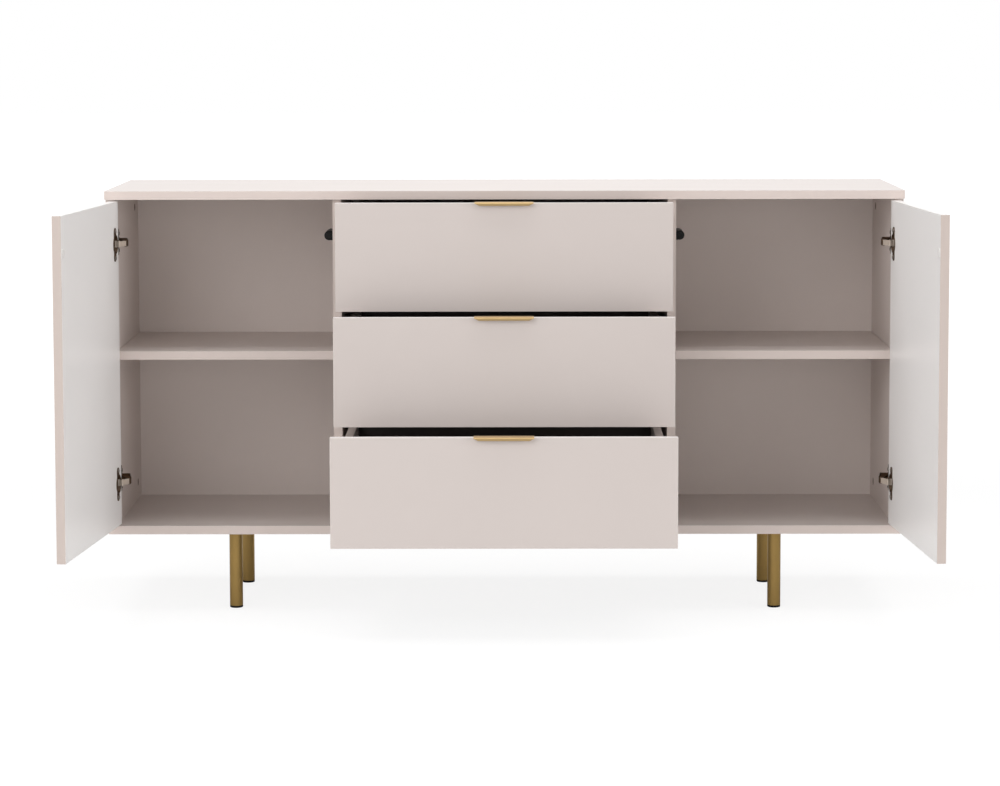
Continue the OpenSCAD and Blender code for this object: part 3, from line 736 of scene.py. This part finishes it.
def makePiece(
    name, bm, slotName, body, replaced=(), at=plain, soften=0.0, finish=None, crisp=35.0,
):
    # soften rounds the edges, and without it faces that meet by more than crisp degrees stay sharp
    bmesh.ops.remove_doubles(bm, verts=bm.verts, dist=mergeWithin)
    bmesh.ops.transform(bm, matrix=toFrame @ at, verts=bm.verts)
    bmesh.ops.recalc_face_normals(bm, faces=bm.faces)
    mesh = toMesh(name, bm)
    mesh.shade_smooth()
    mesh.materials.append(ownFinishes[finish] if finish else finishes[slotName])
    piece = addObject(name, mesh)
    if soften:
        addBevel(piece, soften * mm)
    else:
        mesh.set_sharp_from_angle(angle=math.radians(crisp))
    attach(piece, body)
    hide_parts(*replaced)


# Screws: pan heads with a cross recess

screw = dict(
    radius=3.5, height=2.0, rounding=1.1, turns=(0, 22, 45, 68, 90), recess=(3.6, 0.95, 1.3),
    shank=1.75, bite=3.0,
)


def addScrew(bm, at, size=1.0):
    # head above the origin along Z, shank below it
    radius, height, rounding, shank = (
        screw[key] * size for key in ("radius", "height", "rounding", "shank")
    )
    profile = [(0, -screw["bite"]), (shank, -screw["bite"]), (shank, 0), (radius, 0)]
    for turn in map(math.radians, screw["turns"]):
        profile.append(
            (radius - rounding * (1 - math.cos(turn)), height - rounding * (1 - math.sin(turn)))
        )
    crossHead(bm, profile, [value * size for value in screw["recess"]], at)


# Concealed hinges: cups, links, arms and mounting plates

# floorCurve: in from the wall, up from the floor. lipCurve: out from the wall, down from the lip.
# flangeCurve: in from the flange's rim, up from the door.
cup = dict(
    x=-727.5, radius=17.5, flange=18.5, sheet=0.9, depth=11.5, flangeThick=1.0, chamfer=0.8, count=64,
    floorCurve=((6.0, 0.0), (5.0, 0.4), (4.4, 1.6), (1.8, 1.9), (0.5, 2.8), (0.0, 4.2)),
    lipCurve=((0.0, -0.2), (0.25, 0.55), (0.8, 1.0)),
    flangeCurve=((0.5, 1.0), (0.1, 0.65), (0.0, 0.1), (0.0, 0.0)),
    earX=5.0, earWidth=16.0, earTip=31.5, earRound=6.5, earOverlap=0.3, earLow=0.02, arcSteps=8,
    screwSpan=50.0, pivotHalf=6.0, pivotEdge=-14.6, pivotDeep=(0.4, 4.6), pivotSteps=4,
)
link = dict(
    reach=24.0, radius=2.5, waist=2.1, waistXs=(4.0, 22.0), halfHeight=4.9, cheek=1.1,
    web=1.0, webRound=0.6, axle=1.3, axleOut=1.4, bush=3.1, bushPlay=0.05, chamfer=0.3,
    rest=24.0, ratio=0.45, footRound=0.4,
    foot=((21.5, -2.0), (24.6, -2.5), (27.2, -3.9), (28.0, -3.7), (28.0, 1.4), (27.0, 2.4), (21.5, 2.1)),
)
arm = dict(
    foot=-731.0, rear=79.0, top=-717.0, nose=-709.8, bend=35.0, heel=49.0, halfHeight=6.0, sheet=0.9,
    cheekRounds=(2.5, 4, 3, 3.1, 3.1, 5, 5, 3), webStart=27.0, webBack=1.5, webIn=0.4,
    webRounds=(0.5, 4, 4, 0.5, 0.5, 3, 3, 0.5), slot=5.05, barrel=3.2, chamfer=0.4,
    pin=1.2, rivet=((1.6, 0.5), (2.0, 0.1), (2.0, 0.0)), screws=((56.5, 1.0), (69.0, 0.82)),
)
plate = dict(
    y=56.0, thick=3.0, wing=25.0, wingHalf=7.0, bar=8.0, barHalf=17.0, screwSpan=32.0,
    rounds=(5.5, 2, 2.5, 2.5, 2, 5.5), saddle=(8.2, 24.0), saddleRound=2.0, saddleTop=-722.5, overlap=0.3,
)


def intoDoor(z):
    return place(cup["x"], doorThick, z, "X", 90)


def cupEar(sign):
    edge, steps = cup["flange"] - cup["earOverlap"], cup["arcSteps"]
    left, right = cup["earX"] - cup["earWidth"] / 2, cup["earX"] + cup["earWidth"] / 2
    first, last = math.acos(right / edge), math.acos(left / edge)
    turns = [first + (last - first) * i / steps for i in range(steps + 1)]
    arc = [(edge * math.cos(turn), edge * math.sin(turn)) for turn in turns]
    radii = [0] * len(arc) + [cup["earRound"]] * 2
    outline = rounded(arc + [(left, cup["earTip"]), (right, cup["earTip"])], radii)
    return [(x, sign * y) for x, y in outline]


def makeCups(side):
    cups, pivots, screws = bmesh.new(), bmesh.new(), bmesh.new()
    radius, depth, lip, chamfer = cup["radius"], cup["depth"], cup["flangeThick"], cup["chamfer"]
    inner, floor = radius - cup["sheet"], depth - cup["sheet"]
    profile = [
        (0, floor),
        *((inner - a, floor - b) for a, b in cup["floorCurve"]),
        *((inner + a, -b) for a, b in cup["lipCurve"]),
        *((cup["flange"] - a, -b) for a, b in cup["flangeCurve"]),
        (radius, 0), (radius, depth - chamfer), (radius - chamfer, depth), (0, depth),
    ]
    half, steps = cup["pivotHalf"], cup["pivotSteps"]
    turns = [math.asin(half / inner) * i / steps for i in range(-steps, steps + 1)]
    arc = [(-inner * math.cos(turn), inner * math.sin(turn)) for turn in turns]
    block = arc + [(cup["pivotEdge"], half), (cup["pivotEdge"], -half)]
    for z in hingeHeights:
        lathe(cups, profile, intoDoor(z), cup["count"])
        prism(pivots, [block], *cup["pivotDeep"], intoDoor(z))
        for sign in (-1, 1):
            prism(cups, [cupEar(sign)], -lip, -cup["earLow"], intoDoor(z))
            head = place(cup["earX"], sign * cup["screwSpan"] / 2, -lip, "X", 180)
            addScrew(screws, intoDoor(z) @ head)
    end, body, at = side.title(), f"{side}_door", swung(side)
    makePiece(
        f"hingeCups{end}", cups, "hinge_steel", body, [f"hinge_cups_{side}"], at,
        finish="paintedShadeNickel", crisp=30,
    )
    # the pivot blocks take painted light against the shade of the cup
    makePiece(f"cupPivots{end}", pivots, "hinge_steel", body, (), at, finish="paintedLightNickel")
    makePiece(
        f"cupScrews{end}", screws, "hinge_steel", body, [f"cup_screws_{side}"], at, finish="darkSteel",
    )


def makeLinks(side):
    bm, bushes = bmesh.new(), bmesh.new()
    turn = 180 + link["rest"] + link["ratio"] * openAngle(side)
    reach, radius, waist, tall = link["reach"], link["radius"], link["waist"], link["halfHeight"]
    near, far = link["waistXs"]
    end = [(radius * math.cos(a), radius * math.sin(a)) for a in map(math.radians, range(90, 271, 15))]
    outline = end + [(near, -waist), (far, -waist), (far, waist), (near, waist)]
    web = rounded(
        rectangle(reach - 2 * radius, 2 * (tall - link["cheek"]), (reach / 2, 0)), link["webRound"],
    )
    axle, high = tall + link["axleOut"], tall - link["bushPlay"]
    bush = pinProfile(link["bush"], -high, high, link["chamfer"])[1:-1]
    bore = [(link["axle"], -high), *bush, (link["axle"], high), (link["axle"], -high)]
    for z in hingeHeights:
        at = place(linkPin.x, linkPin.y, z, "Z", turn)
        for low in (-tall, tall - link["cheek"]):
            prism(bm, [outline], low, low + link["cheek"], at)
        prism(bm, [web], waist - link["web"], waist, at @ Matrix.Rotation(math.radians(-90), 4, "X"))
        prism(bm, [rounded(link["foot"], link["footRound"])], -tall, tall, at)
        pin = pinProfile(link["axle"], -axle, axle, link["chamfer"])
        lathe(bm, pin, at @ place(reach, 0, 0), count=24)
        lathe(bushes, bore, at, count=28)
    body = f"{side}_links"
    makePiece(
        f"hingeLinks{side.title()}", bm, "hinge_steel", body, [f"hinge_links_{side}"], onSide(side),
        finish="mattNickel",
    )
    makePiece(
        f"linkBushes{side.title()}", bushes, "hinge_steel", body, (), onSide(side), finish="paintedShadeNickel",
    )


def makeArms(side):
    bm, screws = bmesh.new(), bmesh.new()
    tall, sheet, barrel, x, y = arm["halfHeight"], arm["sheet"], arm["barrel"], linkPin.x, linkPin.y
    foot, nose, top, rear = arm["foot"], arm["nose"], arm["top"], arm["rear"]
    cheek = rounded([
        (foot, rear), (foot, arm["heel"]), (nose - 2 * barrel, y), (nose - 2 * barrel, y - barrel),
        (nose, y - barrel), (nose, arm["bend"]), (top, arm["heel"]), (top, rear),
    ], arm["cheekRounds"])
    over = [
        (nose, arm["webStart"]), (nose, arm["bend"]), (top, arm["heel"]), (top, rear - arm["webBack"]),
    ]
    under = [(a - sheet, b) for a, b in reversed(over)]
    web = rounded(over + under, arm["webRounds"])
    pin = [
        (0, -tall - arm["rivet"][0][1]), *((a, -tall - b) for a, b in arm["rivet"]), (arm["pin"], -tall),
        (arm["pin"], tall), *((a, tall + b) for a, b in reversed(arm["rivet"])),
        (0, tall + arm["rivet"][0][1]),
    ]
    for z in hingeHeights:
        for low in (-tall, tall - sheet):
            prism(bm, [cheek], z + low, z + low + sheet)
        prism(bm, [web], z - tall + arm["webIn"], z + tall - arm["webIn"])
        for low, high in ((-tall, -arm["slot"]), (arm["slot"], tall)):
            # the ring round the pin stands twice, because the bevel depends on the order of points
            tip, *rest = pinProfile(barrel, low, high, arm["chamfer"])
            lathe(bm, [tip, *[(arm["pin"], low)] * 2, *rest], place(x, y, z), count=28)
        lathe(bm, pin, place(x, y, z), count=24)
        for along, size in arm["screws"]:
            addScrew(screws, place(top, along, z, "Y", 90), size)
    makePiece(
        f"hingeArms{side.title()}", bm, "hinge_steel", "carcass", [f"hinge_arms_{side}"], onSide(side),
        soften=0.2, finish="paintedShadeNickel",
    )
    makePiece(
        f"armScrews{side.title()}", screws, "hinge_steel", "carcass", (), onSide(side),
        finish="darkSteel",
    )


def makePlates():
    bm = bmesh.new()
    wing, half, bar, barHalf = plate["wing"], plate["wingHalf"], plate["bar"], plate["barHalf"]
    thick, overlap = plate["thick"], plate["overlap"]
    base = rounded(turnedTwice([
        (-wing, -half), (-bar, -half), (-bar, -barHalf), (bar, -barHalf), (bar, -half), (wing, -half),
    ]), plate["rounds"] * 2)
    saddle = rounded(rectangle(*plate["saddle"]), plate["saddleRound"])
    for side in sides:
        for z in hingeHeights:
            at = onSide(side) @ place(sideFace, plate["y"], z, "Y", -90)
            prism(bm, [base], -thick, 0, at)
            prism(bm, [saddle], sideFace - plate["saddleTop"] - overlap, overlap - thick, at)
    makePiece(
        "hingePlates", bm, "hinge_steel", "carcass", ["hinge_plates"], soften=0.5, finish="paintedShadeNickel",
    )


# Push latches: housing, plunger and strike plate

latch = dict(
    x=-330.0, z=715.0, front=22.0, rear=84.0, radius=9.0, width=7.0, corner=0.6, chamfer=0.8, flat=0.25,
    groove=0.5, grooveXs=(1.5, 1.9, 2.6, 3.0), mouth=6.8, mouthDeep=1.4, mouthTaper=0.3,
    bore=5.05, boreEnd=65.3, tab=98.0, tabThick=3.0, tabRound=4, tabOverlap=1.0,
    tabScrews=91.0, tabSpan=4.5,
)
plunger = dict(
    start=17.3, length=42.0, radius=4.95, groove=(3.4, 3.7, 4.3, 4.6), sunk=0.3, chamfer=0.5,
    tip=((0, 0.5), (2.4, 0.5), (2.6, 0.05), (2.9, 0), (3.9, 0), (4.4, 0.25), (4.75, 0.7), (4.95, 1.2)),
)
strike = dict(
    radius=8.0, thick=1.0, chamfer=(0.6, 0.5), dish=((2.3, 0.35), (3.1, 0.9), (3.4, 1.0)),
    screw=((0, 0), (2.4, 0.1), (2.85, 0.6), (2.5, 0.75)), recess=(3.0, 0.8, 0.6),
)


def makeLatch(side):
    end, z = side.title(), latch["z"]
    bm = bmesh.new()
    radius, width, corner, front = latch["radius"], latch["width"], latch["corner"], latch["front"]
    chamfer, mouthFoot = latch["chamfer"], latch["mouth"] - latch["mouthTaper"]
    curve = [(radius * math.cos(a), radius * math.sin(a)) for a in map(math.radians, range(90, 271, 9))]
    depths = (0.0, latch["groove"], latch["groove"], 0.0)
    low = [(x, depth - radius) for x, depth in zip(latch["grooveXs"], depths)]
    low += [(width - corner, -radius), (width, corner - radius)]
    outline = curve + low + [(x, -y) for x, y in reversed(low)]
    smaller = 1 - chamfer / radius
    inset = [(x * smaller + (latch["flat"] if x > 0 else 0), y * smaller) for x, y in outline]
    at = place(latch["x"], front, z, "X", 90)
    first, second, last, mouth, step, bore, bottom = (
        ring(bm, [(x, y, height) for x, y in points], at) for points, height in (
            (inset, 0), (outline, -chamfer), (outline, front - latch["rear"]),
            (circle(latch["mouth"]), 0), (circle(mouthFoot), -latch["mouthDeep"]),
            (circle(latch["bore"]), -latch["mouthDeep"]), (circle(latch["bore"]), front - latch["boreEnd"]),
        )
    )
    fill(bm, [first, mouth])
    for near, far in ((first, second), (second, last), (mouth, step), (step, bore), (bore, bottom)):
        wall(bm, near, far)
    fill(bm, [last])
    fill(bm, [bottom])
    back, rim, turn = latch["rear"] - latch["tabOverlap"], latch["tab"], latch["tabRound"]
    tab = rounded(
        [(back, -radius), (rim, -radius), (rim, radius), (back, radius)], [0, turn, turn, 0],
    )
    onDivider = Matrix(((0, 0, -1, dividerFace), (1, 0, 0, 0), (0, 1, 0, z), (0, 0, 0, 1)))
    prism(bm, [tab], 0, latch["tabThick"], onDivider)
    makePiece(
        f"pushLatch{end}", bm, "black_plastic", "carcass", [f"push_latch_{side}"], onSide(side), crisp=28,
    )

    bm = bmesh.new()
    fat, length, chamfer = plunger["radius"], plunger["length"], plunger["chamfer"]
    sunk = (0.0, plunger["sunk"], plunger["sunk"], 0.0)
    lathe(bm, [
        *plunger["tip"], *((fat - deep, height) for deep, height in zip(sunk, plunger["groove"])),
        (fat, length - chamfer), (fat - chamfer, length), (0, length),
    ], place(latch["x"], plunger["start"], z, "X", -90))
    makePiece(
        f"latchPlunger{end}", bm, "black_plastic", f"{side}_plunger", [f"latch_plunger_{side}"],
        onSide(side),
    )

    bm = bmesh.new()
    radius, thick, (across, down) = strike["radius"], strike["thick"], strike["chamfer"]
    at = place(latch["x"], doorThick, z, "X", -90)
    lathe(bm, [
        *strike["dish"], (radius - across, thick), (radius, thick - down), (radius, 0), (0, 0),
    ], at)
    crossHead(bm, strike["screw"], strike["recess"], at)
    makePiece(
        f"strikePlate{end}", bm, "hinge_steel", f"{side}_door", [f"strike_plate_{side}"], swung(side),
        finish="whiteCoat",
    )


def makeBracketScrews():
    bm = bmesh.new()
    for side in sides:
        for z in hingeHeights:
            for up in (-plate["screwSpan"] / 2, plate["screwSpan"] / 2):
                addScrew(bm, onSide(side) @ place(sideFace + plate["thick"], plate["y"], z + up, "Y", 90))
        for up in (-latch["tabSpan"], latch["tabSpan"]):
            head = place(dividerFace - latch["tabThick"], latch["tabScrews"], latch["z"] + up, "Y", -90)
            addScrew(bm, onSide(side) @ head)
    makePiece("bracketScrews", bm, "hinge_steel", "carcass", ["bracket_screws"], finish="darkSteel")


# Cam locks and shelf pins

# aims turns each lock's mark towards the panel that its bolt comes from
camLock = dict(
    radius=7.5, depth=12.5, ys=(60.0, 330.0), zs=(200.0, 750.0), aims=(-90, 90), rim=1.0, chamfer=0.2,
    slope=0.3, sunk=0.35, recess=(8.6, 1.9, 1.6), mark=((5.3, -0.8), (6.1, 0.0), (5.3, 0.8)), markLow=0.1,
)
shelfPin = dict(radius=2.5, half=8.0, z=477.45, ys=(66.0, 335.5), dome=0.6)


def makeBoardFittings():
    locks, pins = bmesh.new(), bmesh.new()
    radius, sunk, depth, edge = camLock["radius"], camLock["sunk"], camLock["depth"], camLock["chamfer"]
    flat = radius - camLock["rim"]
    head = [
        (0, -depth), (radius, -depth), (radius, -edge), (radius - edge, 0), (flat, 0),
        (flat - camLock["slope"], -sunk),
    ]
    pin = pinProfile(shelfPin["radius"], -shelfPin["half"], shelfPin["half"], shelfPin["dome"])
    for side in sides:
        for x in (sideFace, dividerInnerFace):
            for y in camLock["ys"]:
                for z, aim in zip(camLock["zs"], camLock["aims"]):
                    at = onSide(side) @ place(x, y, z, "Y", 90)
                    crossHead(locks, head, camLock["recess"], at)
                    mark = at @ place(0, 0, 0, "Z", aim)
                    prism(locks, [camLock["mark"]], -sunk - camLock["markLow"], 0, mark)
        for x in (sideFace, dividerFace):
            for y in shelfPin["ys"]:
                lathe(pins, pin, onSide(side) @ place(x, y, shelfPin["z"], "Y", 90), count=24)
    makePiece("camLocks", locks, "cam_zinc", "carcass", ["cam_locks"])
    makePiece("shelfPins", pins, "hinge_steel", "carcass", ["shelf_pins"])


# Legs with foot pads and plates

leg = dict(
    x=514.0, ys={"front": 56.0, "rear": 318.0}, radius=12.5, wall=1.5, low=4.0, top=147.0, cap=4.0,
    lowEdge=0.3, topEdge=0.5, stud=4.0, studEnd=160.0, studEdge=0.5,
)
pad = dict(
    radius=12.5, hollow=0.4, rim=(3.5, 3.0), rounding=1.3, midway=(0.35, 0.3), edge=0.3,
    plug=10.95, plugEnd=16.0, plugEdge=0.6,
)
legPlate = dict(width=60.0, corner=7.0, thick=3.0, span=44.0, hole=1.8, studPlay=0.05)


def makeLegs():
    pads, plates, screws = bmesh.new(), bmesh.new(), bmesh.new()
    radius, low, top, stud, studEnd = (leg[key] for key in ("radius", "low", "top", "stud", "studEnd"))
    inner, capLow = radius - leg["wall"], top - leg["cap"]
    lowEdge, topEdge, studEdge = leg["lowEdge"], leg["topEdge"], leg["studEdge"]
    tube = [
        (0, capLow), (inner, capLow), (inner, low), (radius - lowEdge, low), (radius, low + lowEdge),
        (radius, top - topEdge), (radius - topEdge, top), (stud, top), (stud, studEnd - studEdge),
        (stud - studEdge, studEnd), (0, studEnd),
    ]
    wide, turn, edge, (outer, ground) = pad["radius"], pad["rounding"], pad["edge"], pad["rim"]
    plug, plugEnd, plugEdge, (inward, up) = pad["plug"], pad["plugEnd"], pad["plugEdge"], pad["midway"]
    foot = [
        (0, pad["hollow"]), (wide - outer, pad["hollow"]), (wide - ground, 0), (wide - turn, 0),
        (wide - inward * turn, up * turn), (wide, turn), (wide, low - edge), (wide - edge, low),
        (plug, low), (plug, plugEnd - plugEdge), (plug - plugEdge, plugEnd), (0, plugEnd),
    ]
    half = legPlate["span"] / 2
    corners = [(x, b) for x in (-half, half) for b in (-half, half)]
    outline = rounded(rectangle(legPlate["width"], legPlate["width"]), legPlate["corner"])
    holes = [circle(legPlate["hole"], 16, corner) for corner in corners]
    holes.append(circle(stud + legPlate["studPlay"], 24))
    for side in sides:
        for row, y in leg["ys"].items():
            at = onSide(side) @ place(-leg["x"], y, 0)
            bm = bmesh.new()
            lathe(bm, tube, at, count=72)
            makePiece(
                f"leg{row.title()}{side.title()}", bm, "gold_metal", "carcass", [f"leg_{row}_{side}"],
                finish="legGold",
            )
            lathe(pads, foot, at, count=56)
            prism(plates, [outline] + holes, top, top + legPlate["thick"], at)
            for x, b in corners:
                addScrew(screws, at @ place(x, b, top, "X", 180))
    makePiece("footPads", pads, "black_plastic", "carcass", ["foot_pads"])
    makePiece("legPlates", plates, "plate_black", "carcass", ["leg_plates"], soften=0.3)
    makePiece("legScrews", screws, "hinge_steel", "carcass", ["leg_screws"])


# Edge pulls: one bent sheet each, screwed on behind the front

pull = dict(
    half=54.5, thick=1.5, reach=-12.0, back=17.5, lip=4.5, lipShares=(0.0, 0.12, 1.0), rim=0.35,
    tab=16.0, bend=2.6, backBend=2.2, bendSteps=6, innerLeast=0.05, slant=8.0,
    tabCorner=4.0, tabTurns=(0, 30, 60, 80), screws=38.0, screwDrop=9.0, screwSize=0.9,
)


def bentStations(centre, radius, start, end):
    steps = pull["bendSteps"]
    for step in range(steps + 1):
        turn = math.radians(start + (end - start) * step / steps)
        way = Vector((math.cos(turn), math.sin(turn)))
        inner = max(radius - pull["thick"], pull["innerLeast"])
        yield tuple(centre + way * radius), tuple(centre + way * inner), pull["half"]


def pullStations():
    half, thick, lip, reach, rear = (pull[key] for key in ("half", "thick", "lip", "reach", "back"))
    front, back, corner = pull["bend"], pull["backBend"], pull["tabCorner"]
    stations = []
    for share in pull["lipShares"]:
        z = -lip + (lip + thick - front) * share
        inset = pull["slant"] * max(0.0, -z) / lip
        rim = pull["rim"] if share == 0.0 else 0.0
        stations.append(((reach + rim, z), (reach + thick - rim, z), half - inset - rim))
    stations += bentStations(Vector((reach + front, thick - front)), front, 180, 90)
    stations += bentStations(Vector((rear - back, thick - back)), back, 90, 0)
    for turn in map(math.radians, pull["tabTurns"]):
        z = -pull["tab"] + corner * (1 - math.sin(turn))
        stations.append(((rear, z), (rear - thick, z), half - corner * (1 - math.cos(turn))))
    return stations


def makePulls():
    for drawer in drawers:
        bm, screws = bmesh.new(), bmesh.new()
        body, end, high = f"{drawer}_drawer", drawer.title(), drawerTops[drawer]
        strip(bm, pullStations(), place(0, 0, high))
        makePiece(
            f"edgePull{end}", bm, "gold_metal", body, [f"edge_pull_{drawer}"], pulled(drawer), crisp=40,
        )
        for x in (-pull["screws"], pull["screws"]):
            head = place(x, pull["back"], high - pull["screwDrop"], "X", -90)
            addScrew(screws, head, pull["screwSize"])
        makePiece(f"pullScrews{end}", screws, "hinge_steel", body, (), pulled(drawer))


# Telescopic slides: the rail on the divider, the member in it and the rail on the drawer

slide = dict(
    width=12.7, sheet=1.2, gap=0.3, start=22.0, length=350.0, heights=(22.5, 21.0, 19.5), bend=2.0,
    edge=0.3, below=124.0, screws=(35.0, 130.0, 225.0, 320.0), screwSize=0.85,
    bumps=(60.0, 290.0), bumpUp=8.0, bump=((0, 0.6), (1.6, 0.5), (2.4, 0.2), (2.9, -0.2), (0, -0.2)),
)


def channel(bm, web, open, tall, at):
    # C section along Y from its web at X web to its open side
    sheet, bend, edge = slide["sheet"], slide["bend"], slide["edge"]
    inside = web + sheet if open > web else web - sheet
    outline = [
        (web, -tall), (open, -tall), (open, sheet - tall), (inside, sheet - tall),
        (inside, tall - sheet), (open, tall - sheet), (open, tall), (web, tall),
    ]
    section = rounded(outline, [bend, edge, edge, bend - sheet, bend - sheet, edge, edge, bend])
    alongY = Matrix(((1, 0, 0, 0), (0, 0, 1, 0), (0, 1, 0, 0), (0, 0, 0, 1)))
    prism(bm, [section], 0, slide["length"], at @ alongY)


def makeSlides():
    rails = bmesh.new()
    width, sheet, step = slide["width"], slide["sheet"], slide["sheet"] + slide["gap"]
    railTall, memberTall, boxTall = slide["heights"]
    for drawer in drawers:
        members, boxRails = bmesh.new(), bmesh.new()
        for side in sides:
            high = drawerTops[drawer] - slide["below"]
            at = onSide(side) @ place(dividerInnerFace, slide["start"], high)
            channel(rails, 0, width - step, railTall, at)
            channel(members, step, width - step, memberTall, at)
            channel(boxRails, width, 2 * step, boxTall, at)
            for along in slide["screws"]:
                addScrew(boxRails, at @ place(width - sheet, along, 0, "Y", -90), slide["screwSize"])
            for along in slide["bumps"]:
                bump = place(width - sheet, along, slide["bumpUp"], "Y", -90)
                lathe(boxRails, slide["bump"], at @ bump, count=24)
        end = drawer.title()
        makePiece(
            f"slideMembers{end}", members, "slide_steel", f"{drawer}_slide_members",
            [f"slide_members_{drawer}"], pulled(drawer, 0.5), crisp=30,
        )
        makePiece(
            f"drawerRails{end}", boxRails, "slide_steel", f"{drawer}_drawer", [f"drawer_rails_{drawer}"],
            pulled(drawer), crisp=30,
        )
    makePiece("slideRails", rails, "slide_steel", "carcass", ["slide_rails"], crisp=30)


# Everything together

dressBoards()
for side in sides:
    makeCups(side)
    makeLinks(side)
    makeArms(side)
    makeLatch(side)
makePlates()
makeBracketScrews()
print("hinges and latches made for", len(sides), "doors")
makeBoardFittings()
makeLegs()
makePulls()
makeSlides()
print("legs, pulls and slides made for", len(drawers), "drawers")
for name, node in nodes.items():
    if not node.modifiers and not node.hide_render:
        dressNode(name)  # drawer bases, dowels, bolts and whatever else no piece stands for

addCamera()
addLights()
addFloor()
scene.view_settings.view_transform = "Standard"
print("camera, lamps and floor placed")
